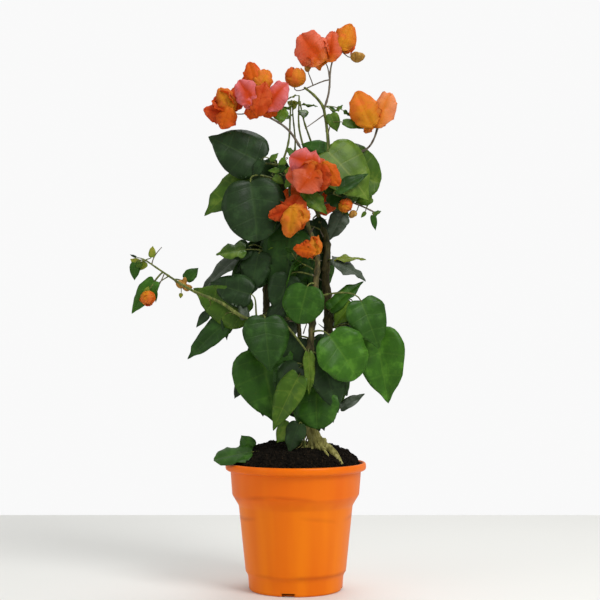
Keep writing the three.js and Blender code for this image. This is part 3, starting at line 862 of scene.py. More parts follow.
stemTube = dict(finish=barkFinishes["stem_bark"], relief=stemRelief, sides=14, step=0.0022)
boughTube = dict(finish=barkFinishes["twig"], relief=shootRelief, sides=10, step=0.002)
shootTube = dict(boughTube, finish=barkFinishes["green_shoot"])
greenBoughs = ("bough_riser", "bough_arch", "bough_left_long")
limbPieces = {}
for name in limbNames:
    if name != "trunk":
        tube = stemTube if name in stemNames else shootTube if name in greenBoughs else boughTube
        places, faces = barkTube(*resampled(*limbs[name], tube["step"]), tube["sides"], tube["relief"],
                                 3.0 * len(name))
        limbPieces[name] = plainMesh(name + "_bark", places, faces, tube["finish"])

crownPlan = dict(seed=5, step=0.0015, core=0.86, coreSides=22, coreSeed=2.0, strands=11, twist=(0.6, 1.5),
                 strandOut=0.82, strandThick=(0.0026, 0.0017), strandSpread=(0.7, 1.2), strandSides=8,
                 fibres=34, fibreReach=(0.013, 0.024), fibreThick=(0.0007, 0.0013), fibreSeed=20.0,
                 rootSeed=7.0, rootFirst=6, rootEvery=2, roots=(  # heading, reach, thickness at the foot
                     (317, 0.037, 0.0060), (296, 0.026, 0.0036), (345, 0.024, 0.0034), (20, 0.022, 0.0032),
                     (120, 0.024, 0.0034), (215, 0.020, 0.0034), (262, 0.018, 0.0034)))
rootPlan = dict(steps=16, weave=0.05, weaves=5, lie=0.3, steep=1.5, early=0.8, dive=1.1, diveFrom=0.75,
                taper=0.4, step=0.0016, stout=0.003, sides=10, thinSides=6)


def rootTube(begin, heading, reach, stout, seed):
    # a root that leaves the crown, falls to the soil and runs out over it until it goes under
    heading = math.radians(heading)
    outward, across = headed(heading)[:2], headed(heading + math.pi / 2)[:2]
    path, level, steps = [], begin[2], rootPlan["steps"]
    for share in np.linspace(0, 1, steps):
        weave = rootPlan["weave"] * reach * math.sin(rootPlan["weaves"] * share + seed)
        out = begin[:2] + outward * reach * share + weave * across
        level = soilLevel(*out) or level
        fall = min(1, rootPlan["steep"] * share) ** rootPlan["early"]
        height = begin[2] + (level + rootPlan["lie"] * stout - begin[2]) * fall
        dive = max(0, share - rootPlan["diveFrom"]) / (1 - rootPlan["diveFrom"])
        path.append((*out, height - rootPlan["dive"] * stout * dive))
    widths = np.linspace(1.0, rootPlan["taper"], steps) * stout
    line, widths = resampled(np.array(path), widths, rootPlan["step"])
    sides = rootPlan["sides" if stout > rootPlan["stout"] else "thinSides"]
    return barkTube(line, widths, sides, crownRelief, seed)


def makeCrown():
    # the root crown: a fibrous foot of twisted strands, with roots that run out over the soil
    rng = np.random.default_rng(crownPlan["seed"])
    line, thick = resampled(*limbs["trunk"], crownPlan["step"])
    count, heap = len(line), newHeap()
    addToHeap(heap, *barkTube(line, thick * crownPlan["core"], crownPlan["coreSides"], crownRelief,
                              crownPlan["coreSeed"]))
    for strand in range(crownPlan["strands"]):
        start = 2 * math.pi * strand / crownPlan["strands"]
        twist = rng.uniform(*crownPlan["twist"])
        out = thick * crownPlan["strandOut"]
        path = np.array([centre + headed(start + twist * index / count) * out[index]
                         for index, centre in enumerate(line)])
        width = np.linspace(*crownPlan["strandThick"], count) * rng.uniform(*crownPlan["strandSpread"])
        addToHeap(heap, *barkTube(path, width, crownPlan["strandSides"], crownRelief, float(strand)))
    for number, root in enumerate(crownPlan["roots"]):
        foot = line[min(count - 1, crownPlan["rootFirst"] + crownPlan["rootEvery"] * number)]
        addToHeap(heap, *rootTube(foot, *root, crownPlan["rootSeed"] + number))
    for number in range(crownPlan["fibres"]):
        foot = line[int(rng.integers(2, count - 2))]
        heading, reach = rng.uniform(0, 360), rng.uniform(*crownPlan["fibreReach"])
        thin = rng.uniform(*crownPlan["fibreThick"])
        addToHeap(heap, *rootTube(foot, heading, reach, thin, crownPlan["fibreSeed"] + number))
    return heapMesh("root_crown", heap, barkFinishes["root_bark"])


crown = makeCrown()
print("bark made on", len(limbPieces) + 1, "limbs")


cameraPlan = dict(place=(0.0051, -1.512, 0.285), tilt=2.32, lens=75, sensor=36)
massNames = [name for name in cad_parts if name.startswith(("foliage", "bloom"))]
massTree = treeOf(np.concatenate([trianglesOf(name) for name in massNames]))


def massDepth(spot):
    # how far the first mass is in front of a place, for someone at the camera, or None in open sky
    eye = Vector(cameraPlan["place"])
    ray = Vector(spot) - eye
    hit = massTree.ray_cast(eye, ray.normalized())
    return None if hit[0] is None else ray.length - hit[3]


def isHidden(spots, proud):
    # whether each place has a mass on its line of sight, and doesn't stand too far in front of it
    depths = [massDepth(spot) for spot in spots]
    return all(depth is not None and depth >= -proud for depth in depths)


# the leaves that give the bush its outline, in millimetres and degrees: tone, foot and tip as (across, up),
# width, depth (less is nearer the front), the lift of the upper side and the lean of the tip to the front
leafPlan = {
    "foliage_upper_left": (
        ("dark", (-42, 511), (-102, 543), 56, -20, 10, 5),
        ("dark", (-41, 513), (-50, 486), 13, -26, 0, 0)),
    "foliage_left_dark": (
        ("dark", (-54, 486), (-41, 418), 70, -36, 10, 8),),
    "foliage_left_light": (
        ("bright", (-54, 494), (-112, 454), 40, -14, 25, 5),),
    "foliage_crest_right": (
        ("bright", (42, 570), (50, 549), 17, -16, 10, 0),
        ("bright", (57, 560), (82, 555), 12, -16, 20, 0),
        ("middle", (47, 573), (41, 581), 6, -14, 20, 0),
        ("bright", (50, 574), (56, 582), 6, -15, 30, 0), ("middle", (58, 574), (66, 569), 6, -15, 30, 0)),
    "foliage_upper_right": (
        # the big pale leaf is lighter partly as a painted highlight across its blade
        ("pale", (38, 523), (91, 471), 62, -30, 22, 4), ("middle", (38, 526), (8, 536), 19, -18, 20, 0),
        # this narrow deep leaf is painted shade, for the shaded, folded lower half of the big leaf above it
        ("deep", (47, 474), (85, 497), 16, -40, 20, 0),
        ("bright", (31, 511), (103, 490), 69, -2, 10, 0),
        ("fresh", (-12, 564), (-33, 578), 18, -22, 10, 0),
        ("bright", (-30, 512), (-22, 523), 8, -24, 20, 0),
        ("middle", (-14, 506), (-24, 496), 10, -26, 20, 0),
        ("bright", (-20, 500), (-33, 500), 8, -28, 20, 0),
        ("bright", (-26, 492), (-14, 484), 11, -30, 10, 0),
        ("fresh", (-12, 512), (-21, 507), 9, -31, 10, 0),
        ("young", (-11, 496), (-4, 506), 8, -29, 20, 0),
        ("fresh", (-6, 488), (-13, 478), 9, -33, 10, 0),
        ("bright", (-3, 519), (-10, 529), 9, -24, 20, 0)),
    "foliage_twig_right": (
        ("bright", (92, 469), (71, 464), 16, -10, 20, 0),
        ("bright", (93, 449), (103, 454), 7, -10, 30, 0),
        ("middle", (93, 448), (96, 430), 8, -11, 0, 0), ("fresh", (84, 452), (79, 445), 5, -10, 0, 0)),
    "foliage_stem_right": (
        ("grey", (56, 449), (40, 419), 23, -16, 20, 5),
        ("bright", (11, 474), (37, 447), 21, -40, 20, 0),
        ("deep", (40, 462), (62, 478), 20, -20, 20, 0),
        ("bright", (58, 456), (46, 466), 13, -16, 10, 0), ("dark", (20, 444), (33, 398), 31, 8, 0, 0),
        ("deep", (22, 402), (29, 350), 29, 12, 0, 0), ("middle", (60, 452), (54, 440), 11, -15, 10, 0)),
    "foliage_left_small": (
        ("bright", (-60, 405), (-95, 403), 30, -30, 50, 0),
        ("dark", (-56, 410), (-78, 396), 26, -22, 20, 0)),
    "foliage_left_grey": (
        ("grey", (-69, 398), (-122, 360), 30, -12, 58, 0),),
    "foliage_right_flat": (
        ("grey", (44, 394), (88, 378), 34, -10, 62, 0), ("young", (46, 395), (84, 400), 12, -6, 60, 0)),
    "foliage_right_pointed": (
        ("middle", (41, 334), (77, 373), 20, -14, 30, 0),
        ("fresh", (67, 342), (45, 317), 24, -18, 30, 10)),
    "foliage_left_bright": (
        ("bright", (-58, 328), (-122, 354), 44, -20, -8, 8),
        # this dark leaf lies over the upper half of the bright one as painted shade, for the half that is
        # turned away from the light
        ("dark", (-53, 352), (-102, 366), 36, -28, 10, 5),
        ("grey", (-60, 322), (-64, 346), 13, -32, 10, 0)),
    "foliage_left_inner": (
        ("dark", (-44, 402), (-56, 354), 34, -20, 5, 8), ("deep", (-38, 382), (-66, 362), 30, -8, 10, 5)),
    "foliage_left_blade": (
        ("deep", (-80, 323), (-130, 277), 26, -14, 15, 8),
        ("dark", (-86, 324), (-81, 298), 10, -18, 30, 0),
        ("dark", (-104, 332), (-120, 314), 12, -16, 20, 0)),
    "foliage_tip_upper": (
        ("young", (-189, 390), (-200, 397), 10, -4, 20, 0),
        ("young", (-182, 392), (-188, 382), 10, -5, 10, 0),
        ("middle", (-194, 391), (-194, 370), 13, -7, 10, 0),
        ("young", (-174, 398), (-173, 412), 9, -4, 0, 0),
        ("bright", (-187, 391), (-193, 384), 8, -8, 0, 0),
        ("dark", (-193, 398), (-201, 401), 3, -4, 0, 0),
        ("middle", (-133, 371), (-119, 386), 16, -2, 10, 0)),
    "foliage_tip_lower": (
        ("lush", (-170, 369), (-200, 332), 21, -10, 10, 0),
        ("middle", (-169, 358), (-168, 343), 5, -8, 0, 0),
        ("young", (-180, 353), (-176, 362), 7, -16, 0, 0),
        ("young", (-138, 354), (-139, 348), 5, -8, 0, 0)),
    "foliage_heart_centre": (
        ("middle", (14, 361), (2, 319), 46, -44, 10, 8), ("dark", (-8, 374), (-24, 330), 36, -30, 0, 5)),
    "foliage_heart_left": (
        ("deep", (-36, 324), (-31, 263), 51, -44, 15, 10),
        ("dark", (-16, 336), (-36, 318), 24, -30, 20, 0)),
    "foliage_heart_low_left": (
        ("middle", (-41, 284), (-24, 200), 72, -26, 5, 8),
        ("dark", (-62, 250), (-73, 228), 14, -20, 0, 0)),
    "foliage_heart_right": (
        ("middle", (77, 344), (98, 290), 44, -40, 15, 10),),
    "foliage_heart_far_right": (
        ("lush", (96, 308), (110, 225), 54, -12, 5, 8),),
    "foliage_heart_bright": (
        ("lush", (39, 303), (74, 257), 56, -57, 15, 8), ("dark", (20, 300), (34, 262), 34, -24, 0, 5)),
    "foliage_low_dark": (
        ("dark", (29, 278), (52, 216), 38, -52, 10, 6), ("grey", (53, 217), (81, 236), 12, -30, 20, 0),
        ("deep", (44, 262), (62, 232), 26, -38, 10, 0)),
    "foliage_low_olive": (
        ("bright", (4, 256), (-29, 197), 30, -57, 15, 10),
        ("pale", (15, 283), (19, 234), 13, -62, 10, 0), ("deep", (-6, 268), (-12, 216), 36, -27, 0, 8),
        ("dark", (2, 300), (-14, 250), 40, -24, 0, 5), ("dark", (10, 262), (14, 212), 34, -30, 0, 5)),
    "foliage_low_front": (
        ("middle", (25, 242), (21, 196), 53, -42, 20, 10), ("dark", (14, 222), (30, 190), 26, -26, 0, 0)),
    "foliage_soil_centre": (
        ("bright", (-6, 199), (-23, 178), 21, -44, 10, 5),
        ("dark", (4, 200), (-10, 168), 22, -50, 10, 5)),
    "foliage_over_rim": (
        ("middle", (-52, 165), (-97, 162), 42, -26, 66, 0),
        ("middle", (-54, 168), (-64, 184), 20, -10, 10, 0)),
}
# sprays whose stalks come out of the soil, and where
suckers = {"foliage_over_rim": (-0.040, -0.024), "foliage_soil_centre": (0.012, -0.034)}
leafHeaps = {tone: newHeap() for tone in leafTones}
tonesOf = {tone: [] for tone in leafTones}
stalkLines, twigLines, flowerLines = [], [], []
leafRng = np.random.default_rng(21)
stalkPlan = dict(places=9, bow=0.33, sag=0.12, inside=0.02, thick=0.0009, foot=1.3, tip=0.7)
seenPlan = dict(long=1.04, wide=1.1, small=0.034, broad=0.96, thick=(0.0005, 0.009), suckerDeep=0.003)


def curvedStalk(start, end, arrive, thick, thin, sag=stalkPlan["sag"]):
    # a petiole from a limb to a blade's foot, which it meets in line with the blade
    length = np.linalg.norm(end - start)
    first = start + (end - start) * stalkPlan["bow"] + upward * sag * length
    second = end - arrive * stalkPlan["bow"] * length
    line = []
    for share in np.linspace(0, 1, stalkPlan["places"]):
        rest = 1 - share
        line.append(rest ** 3 * start + 3 * rest ** 2 * share * first + 3 * rest * share ** 2 * second
                    + share ** 3 * end)
    return np.array(line), np.linspace(thick, thin, stalkPlan["places"])


def addLeaf(tone, base, along, normal, long, wide, shape, start, thick=stalkPlan["thick"]):
    along = unit(along)
    addBlade(leafHeaps[tone], base, along, squared(normal, along), long, wide, shape, leafRng)
    stalkLines.append(curvedStalk(start, base + along * stalkPlan["inside"] * long, along,
                                  thick * stalkPlan["foot"], thick * stalkPlan["tip"]))


def seenBlade(foot, tip, deep, lift, lean):
    # places a blade so that it runs from foot to tip as seen from the front
    base = np.array([foot[0], deep, foot[1]]) / 1000
    run = np.array([tip[0] - foot[0], 0.0, tip[1] - foot[1]]) / 1000
    flat = unit(run)
    side = np.cross(flat, forward)
    side = side * (1 if side[2] > 0 else -1)
    lift, lean = math.radians(lift), math.radians(lean)
    along = flat * math.cos(lean) + forward * math.sin(lean)
    normal = forward * math.cos(lift) + side * math.sin(lift)
    return base, along, squared(normal, along), seenPlan["long"] * np.linalg.norm(run) / math.cos(lean)


def growPlanned(name):
    # leaves of known outline, each on a stalk from the nearest limb or from the soil
    for tone, foot, tip, wide, deep, lift, lean in leafPlan[name]:
        base, along, normal, long = seenBlade(foot, tip, deep, lift, lean)
        large = long > seenPlan["small"]
        wide = wide / 1000 * (seenPlan["wide"] if large else 1)
        broad = wide > seenPlan["broad"] * long
        shape = smallLeafShape if not large else broadLeafShape if broad else leafShape
        if name in suckers:
            start = np.array([*suckers[name], soilLevel(*suckers[name]) - seenPlan["suckerDeep"]])
        else:
            start = nearest(limbPlaces, base)
        thin, growth = seenPlan["thick"]
        addLeaf(tone, base, along, normal, long, wide, shape, start, thin + growth * long)


sprayPlan = dict(tones=("deep", "middle", "dark"), thick=0.0011, turn=(0.5, 1.1), under=(0.006, 0.014),
                 back=0.004, long=(0.5, 0.68), lift=(0.1, 0.5), wide=(0.7, 0.84), middle=0.6, change=0.5)
companions = dict(dark="deep", deep="dark", middle="deep")


def growSpray(name):
    # a large leaf on the spray's pad, with smaller ones behind it that share its stalk's foot
    tone = sprayPlan["tones"][len(name) % 3]
    tonesOf[tone].append(name)
    pad = padFrame(name)
    addLeaf(tone, pad["base"], pad["along"], pad["normal"], pad["long"], pad["wide"], leafShape, pad["start"],
            sprayPlan["thick"])
    for hand in (1, -1):
        along = rotated(pad["along"], pad["normal"], hand * leafRng.uniform(*sprayPlan["turn"]))
        base = pad["base"] - pad["normal"] * leafRng.uniform(*sprayPlan["under"])
        base = base - pad["along"] * sprayPlan["back"]
        long = pad["long"] * leafRng.uniform(*sprayPlan["long"])
        normal = rotated(pad["normal"], along, hand * leafRng.uniform(*sprayPlan["lift"]))
        ends = [base + along * long * share for share in (sprayPlan["middle"], 1)]
        if isHidden(ends, math.inf):
            own = companions[tone] if leafRng.random() < sprayPlan["change"] else tone
            wide = long * leafRng.uniform(*sprayPlan["wide"])
            addLeaf(own, base, along, normal, long, wide, smallLeafShape, pad["start"])


sprayNames = [name for name in massNames if name.startswith("foliage")]
for name in sprayNames:
    if name in leafPlan:
        tonesOf[leafPlan[name][0][0]].append(name)
        growPlanned(name)
    else:
        growSpray(name)
print("sprays grown:", len(sprayNames))


def upStems(plan):
    # places up each stem at even steps, each with a heading turned on from the last and the stem's radius
    for number, name in enumerate(stemNames):
        line, radii = resampled(*limbs[name], plan["step"])
        for index, spot in enumerate(line):
            if plan["lowest"] < spot[2] < plan["highest"]:
                yield spot, math.radians(leafTurn * index + plan["start"](number, name)), radii[index]


# start is the heading of each stem's first leaf, in degrees
fillPlan = dict(step=0.009, lowest=0.215, highest=0.56, start=lambda number, name: 70 * number,
                petiole=(0.010, 0.030), rise=(0.0, 0.012), long=(0.032, 0.058), slope=(0.7, 1.35),
                turn=(-0.7, 0.7), wide=0.78, thick=0.0008, proud=0.014, tones=("dark", "deep", "middle"),
                outline=((0.1, 0), (0.55, 0), (1.05, 0), (0.4, 0.33), (0.4, -0.33)))


def growFill():
    count = 0
    for spot, heading, _ in upStems(fillPlan):
        level = headed(heading)
        base = spot + level * leafRng.uniform(*fillPlan["petiole"])
        base = base + upward * leafRng.uniform(*fillPlan["rise"])
        long = leafRng.uniform(*fillPlan["long"])
        along, normal = hanging(level, leafRng.uniform(*fillPlan["slope"]))
        along = rotated(along, normal, leafRng.uniform(*fillPlan["turn"]))
        across = np.cross(along, normal)
        if isHidden([base + (along * far + across * aside) * long for far, aside in fillPlan["outline"]],
                    fillPlan["proud"]):
            tone = fillPlan["tones"][int(leafRng.integers(0, 3))]
            addLeaf(tone, base, along, normal, long, long * fillPlan["wide"], smallLeafShape, spot,
                    fillPlan["thick"])
            count += 1
    return count


print("leaves along the stems:", growFill())


# side shoots follow a seeded branching rule
shootPlan = dict(step=0.034, lowest=0.225, highest=0.545, start=lambda number, name: 100 * number + 30,
                 seed=58, first=0.4, steps=4, size=0.008, shrink=0.8, fork=2, forks=1, forkTurn=(0.7, 1.2),
                 turn=0.35, rise=0.25, leaf=(0.010, 0.016), leafTurn=(0.6, 1.2), leafDrop=(0.2, 0.8),
                 leafFace=0.6, stalk=0.2, wide=0.66, leafThick=0.0004, thick=(0.0010, 0.0005), proud=0.03,
                 tones=("middle", "bright", "deep", "fresh"))


def growShoot(rng, start, heading, size, forks):
    # steps on with a slight turn, bears a leaf on either side in turn, and forks while forks are left
    line, count = [start], 0
    for step in range(shootPlan["steps"]):
        heading = unit(heading + rng.normal(0, shootPlan["turn"], 3) + upward * shootPlan["rise"])
        spot = line[-1] + heading * size
        long = rng.uniform(*shootPlan["leaf"])
        hand = 1 if step % 2 else -1
        along = rotated(heading, upward, hand * rng.uniform(*shootPlan["leafTurn"]))
        along = unit(along - upward * rng.uniform(*shootPlan["leafDrop"]))
        normal = unit(upward + shootPlan["leafFace"] * heading)
        tone = shootPlan["tones"][int(rng.integers(0, 4))]
        if not isHidden([spot, spot + along * long], shootPlan["proud"]):
            break
        line.append(spot)
        addLeaf(tone, spot + along * shootPlan["stalk"] * long, along, normal, long, shootPlan["wide"] * long,
                smallLeafShape, spot, shootPlan["leafThick"])
        count += 1
        if forks and step == shootPlan["fork"]:
            aside = rotated(heading, upward, hand * rng.uniform(*shootPlan["forkTurn"]))
            count += growShoot(rng, spot, aside, shootPlan["shrink"] * size, forks - 1)
    if len(line) > 1:
        stalkLines.append((np.array(line), np.linspace(*shootPlan["thick"], len(line))))
    return count


def growShoots():
    rng = np.random.default_rng(shootPlan["seed"])
    count = 0
    for spot, heading, _ in upStems(shootPlan):
        first = unit(headed(heading, shootPlan["first"]))
        count += growShoot(rng, spot, first, shootPlan["size"], shootPlan["forks"])
    return count


print("leaves on side shoots:", growShoots())

tipPlan = dict(step=0.012, start=50, tones=("young", "bright"), long=0.024, first=0.6, growth=0.5,
               spread=(0.9, 1.1), petiole=0.3, slope=(-0.5, 0.7), wide=0.7, thick=0.0005)


def growTips():
    # small young leaves in turn up the bare tops of the stems
    for name in stemNames:
        line, _ = resampled(*limbs[name], tipPlan["step"])
        for index, tone in enumerate(tipPlan["tones"]):
            spot = line[-1 - index]
            level = headed(math.radians(leafTurn * index + tipPlan["start"] * len(name)))
            size = tipPlan["first"] + tipPlan["growth"] * index / len(tipPlan["tones"])
            long = tipPlan["long"] * size * leafRng.uniform(*tipPlan["spread"])
            along, normal = hanging(level, leafRng.uniform(*tipPlan["slope"]))
            base = spot + level * long * tipPlan["petiole"]
            addLeaf(tone, base, along, normal, long, tipPlan["wide"] * long, smallLeafShape, spot,
                    tipPlan["thick"])


growTips()


# the bracts seen first, as the leaves are: tone, foot, tip, width, depth, lift and lean
bractPlan = {
    "bloom_top_left": (
        ("coral", (31, 630), (6, 664), 40, -22, 0, 18),
        ("coral", (39, 632), (43, 673), 27, -20, 10, 12), ("gold", (38, 634), (9, 634), 14, -16, 20, 0)),
    "bloom_top_right": (
        ("gold", (54, 648), (66, 679), 27, -16, 0, 16), ("orange", (53, 649), (53, 669), 15, -12, 0, 0),
        ("orange", (56, 648), (73, 664), 17, -9, 0, 0)),
    "bloom_right": (
        ("gold", (92, 553), (72, 593), 34, -24, 0, 16),
        ("peach", (95, 553), (110, 599), 30, -20, 10, 14),
        ("orange", (95, 554), (96, 584), 32, -8, 0, 0), ("gold", (93, 557), (81, 548), 11, -22, 0, 0)),
    "bloom_left_pink": (
        ("orange", (-46, 600), (-58, 632), 23, -26, 0, 5),
        ("gold", (-45, 600), (-31, 622), 23, -28, 0, 5),
        ("orange", (-47, 599), (-66, 617), 17, -24, 0, 0),
        ("pink", (-47, 574), (-67, 603), 28, -40, 0, 18),
        ("ember", (-45, 562), (-40, 603), 25, -44, 10, 16),
        ("pink", (-40, 571), (-12, 604), 29, -38, 10, 18),
        ("orange", (-40, 578), (-21, 567), 20, -34, 0, 0),
        ("orange", (-46, 578), (-58, 562), 20, -36, 0, 0)),
    "bloom_left_outer": (
        ("gold", (-76, 569), (-92, 600), 25, -30, 0, 14),
        ("ember", (-73, 571), (-71, 606), 18, -26, 10, 0),
        ("ember", (-80, 569), (-109, 575), 23, -28, 10, 12),
        ("orange", (-78, 575), (-88, 550), 24, -34, 0, 14)),
    "bloom_centre": (
        ("pink", (27, 499), (-4, 515), 38, -54, 10, 18), ("coral", (27, 503), (6, 472), 38, -58, 0, 20),
        ("ember", (31, 503), (26, 470), 22, -62, 10, 5),
        ("orange", (31, 505), (52, 480), 21, -56, 0, 8), ("coral", (28, 494), (33, 511), 23, -50, 0, 8),
        ("coral", (26, 497), (-10, 490), 32, -48, 10, 12)),
    "bloom_orange": (
        ("ember", (-7, 447), (2, 469), 32, -50, 10, 5), ("gold", (-9, 450), (16, 439), 25, -54, 10, 5),
        ("gold", (-4, 452), (-6, 418), 23, -58, 0, 18), ("ember", (-7, 450), (-32, 443), 18, -52, 0, 5),
        ("orange", (-4, 448), (9, 427), 20, -50, 0, 0)),
    "bloom_small": (
        ("orange", (24, 400), (-3, 408), 16, -56, 10, 10),
        ("gold", (25, 397), (20, 421), 16, -54, 0, 0), ("orange", (25, 398), (9, 415), 17, -50, 0, 0)),
}
# the bunches seen less: foot from the middle of the solid, axis, length, and each bract's tone, heading and
# opening: heading 0 is the front, 90 the right, and opening is the lean from the axis at the foot
bloomPlan = {
    "bloom_ball": [
        ((-0.001, 0.002, -0.0105), (0.12, -0.2, 1.0), 0.034,
         (("orange", -60, 88), ("gold", 15, 88), ("gold", 90, 88), ("orange", 160, 88), ("gold", 230, 88)))],
    "bloom_back": [
        ((-0.004, 0.0, -0.012), (-0.4, 0.6, 0.5), 0.036,
         (("orange", 60, 50), ("coral", 180, 50), ("orange", 300, 50))),
        ((0.006, 0.002, -0.008), (0.6, 0.6, 0.1), 0.034,
         (("ember", 0, 50), ("orange", 120, 50), ("gold", 240, 50)))],
}
lanternPlan = (  # small closed bunches on twigs of their own: foot, axis, length
    ((-0.178, -0.013, 0.356), (0.15, -0.3, -1.0), 0.024),
    ((0.054, -0.018, 0.463), (0.7, -0.3, -0.6), 0.022),
)
backing = dict(bracts=(("orange", 125, 40), ("coral", 180, 40), ("orange", 235, 40)), size=0.85,
               behind=(0, 0.005, 0), axis=(0, 0.1, 0.05))
bunchPlan = dict(nudge=1e-3, turn=(-5, 5), opening=(-4, 4), long=(0.95, 1.05), closedFrom=70,
                 closedWide=0.78, wide=1.02, apart=0.0008, seenWide=1.06, twig=(0.0009, 0.0006, 0.05),
                 tube=(0.0005, 0.0008, 0.0009, 0.0008, 0.0008, 0.0011, 0.0020), tubeLean=0.25,
                 tubeFrom=0.05, tubeTo=0.5)
hubs = {"bloom_ball": (0.041, -0.014, 0.612), "bloom_top_left": (0.041, -0.014, 0.612)}
bractHeaps = {tone: newHeap() for tone in bractTones}
bloomTones = {tone: [] for tone in bractTones}
bractRng = np.random.default_rng(34)


def addBunch(foot, axis, size, bracts):
    # papery bracts round one axis, bowed in towards their tips, with small tube flowers inside
    front = unit(forward + bunchPlan["nudge"] + axis * axis[1])
    right = np.cross(axis, front)
    for tone, heading, opening in bracts:
        angle = math.radians(heading + bractRng.uniform(*bunchPlan["turn"]))
        lean = math.radians(opening + bractRng.uniform(*bunchPlan["opening"]))
        radial = front * math.cos(angle) + right * math.sin(angle)
        along = axis * math.cos(lean) + radial * math.sin(lean)
        normal = radial * math.cos(lean) - axis * math.sin(lean)
        long = size * bractRng.uniform(*bunchPlan["long"])
        shape, wide = bractShape, bunchPlan["wide"]
        if opening > bunchPlan["closedFrom"]:
            shape, wide = closedBractShape, bunchPlan["closedWide"]
        base = foot + radial * bunchPlan["apart"]
        addBlade(bractHeaps[tone], base, along, normal, long, wide * long, shape, bractRng)
        tube = unit(axis + bunchPlan["tubeLean"] * radial)
        shares = np.linspace(bunchPlan["tubeFrom"], bunchPlan["tubeTo"], len(bunchPlan["tube"]))
        flowerLines.append((foot + tube * size * shares[:, None], np.array(bunchPlan["tube"])))


def growBloom(name, hub):
    feet, heads, longs = [], [], []
    for tone, foot, tip, wide, deep, lift, lean in bractPlan[name]:
        base, along, normal, long = seenBlade(foot, tip, deep, lift, lean)
        addBlade(bractHeaps[tone], base, along, normal, long, bunchPlan["seenWide"] * wide / 1000,
                 openBractShape, bractRng)
        feet.append(base)
        heads.append(along)
        longs.append(long)
    foot = np.mean(feet, axis=0) + backing["behind"]
    axis = unit(np.mean(heads, axis=0) + backing["axis"])
    addBunch(foot, axis, backing["size"] * np.mean(longs), backing["bracts"])
    twigLines.append(curvedStalk(hub, foot, axis, *bunchPlan["twig"]))


for name in [name for name in massNames if name.startswith("bloom")]:
    middle = skinOf(name)[0]
    hub = np.array(hubs.get(name, nearest(limbPlaces, middle)))
    if name in bractPlan:
        growBloom(name, hub)
        bloomTones[bractPlan[name][0][0]].append(name)
        continue
    for foot, axis, size, bracts in bloomPlan[name]:
        foot, axis = middle + foot, unit(np.array(axis))
        addBunch(foot, axis, size, bracts)
        twigLines.append(curvedStalk(hub, foot, axis, *bunchPlan["twig"]))
    bloomTones[bracts[0][0]].append(name)
for foot, axis, size in lanternPlan:
    addBunch(np.array(foot), unit(np.array(axis)), size, bloomPlan["bloom_ball"][0][3])
print("blooms made")


bentTwigs = (  # foot, bend and tip, in millimetres
    ((-174, -4, 388), (-174, -4, 398), (-162, -4, 410)), ((-159, -6, 377), (-163, -8, 366), (-169, -8, 357)),
    ((-8, -32, 320), (8, -30, 319), (18, -26, 326)), ((9, -30, 305), (11, -28, 312), (15, -26, 322)),
    ((35, -14, 570), (22, -16, 560), (11, -18, 552)), ((44, -14, 566), (40, -14, 552), (38, -16, 540)),
)
bentStalks = (  # green, and in front of the leaves
    ((37, -15, 560), (38, -24, 536), (39, -33, 508)), ((-18, -36, 322), (-4, -42, 308), (13, -50, 284)),
)
bentThick = dict(twig=(0.0008, 0.0005), stalk=(0.0015, 0.0011))
stubPlan = dict(step=0.019, lowest=0.21, highest=0.47, start=lambda number, name: 40 * len(name), seed=8,
                rise=(0.2, 0.7), long=(0.004, 0.010), places=4, thick=0.0011, tip=0.3)


def addBent(lines, corners, thick, thin):
    foot, bend, tip = (np.array(corner) / 1000 for corner in corners)
    shares = np.linspace(0, 1, stalkPlan["places"])[:, None]
    curve = (1 - shares) ** 2 * foot + 2 * shares * (1 - shares) * bend + shares ** 2 * tip
    lines.append((curve, np.linspace(thick, thin, len(curve))))


def growStubs():
    # dry thorns and the stubs of old stalks, in turn up the stems
    rng = np.random.default_rng(stubPlan["seed"])
    shares = np.linspace(1, stubPlan["tip"], stubPlan["places"])
    for spot, heading, radius in upStems(stubPlan):
        ray = headed(heading, rng.uniform(*stubPlan["rise"]))
        end = spot + ray * (radius + rng.uniform(*stubPlan["long"]))
        twigLines.append((np.linspace(spot, end, len(shares)), shares * stubPlan["thick"]))


for corners in bentTwigs:
    addBent(twigLines, corners, *bentThick["twig"])
for corners in bentStalks:
    addBent(stalkLines, corners, *bentThick["stalk"])
growStubs()


budPlan = dict(aside=(0.3, 1.0, 0.2), rings=9, sides=12, long=1.3, rib=0.14, ribs=3, crease=0.05, creases=7,
               lag=3, turn=0.5, shoulder=6, drawn=1.15, tip=1.65, upTurn=0.4, inside=1.2,
               twig=(0.0008, 0.0006, 0.1))
budPlaces = (  # place and radius, in millimetres
    (74, -14, 640, 6.4), (14, -14, 626, 3.6), (-138, -12, 365, 4.8), (-131, -10, 361, 4.2),
    (-134, -12, 368, 3.4), (69, -14, 449, 4.2),
)
budHeap = newHeap()


def budRing(middle, axis, radius, ring):
    sideways = unit(np.cross(axis, budPlan["aside"]))
    third = np.cross(axis, sideways)
    polar = math.pi * ring / budPlan["rings"]
    drawn = budPlan["drawn"] if ring > budPlan["shoulder"] else 1
    down = axis * radius * budPlan["long"] * math.cos(polar) * drawn
    places = []
    for corner in range(budPlan["sides"]):
        angle = 2 * math.pi * corner / budPlan["sides"]
        swell = 1 + budPlan["rib"] * math.cos(budPlan["ribs"] * angle)
        swell += budPlan["crease"] * math.cos(budPlan["creases"] * angle + budPlan["lag"] * polar)
        turn = angle + budPlan["turn"] * polar
        ray = sideways * math.cos(turn) + third * math.sin(turn)
        places.append(middle + ray * radius * math.sin(polar) * swell - down)
    return places


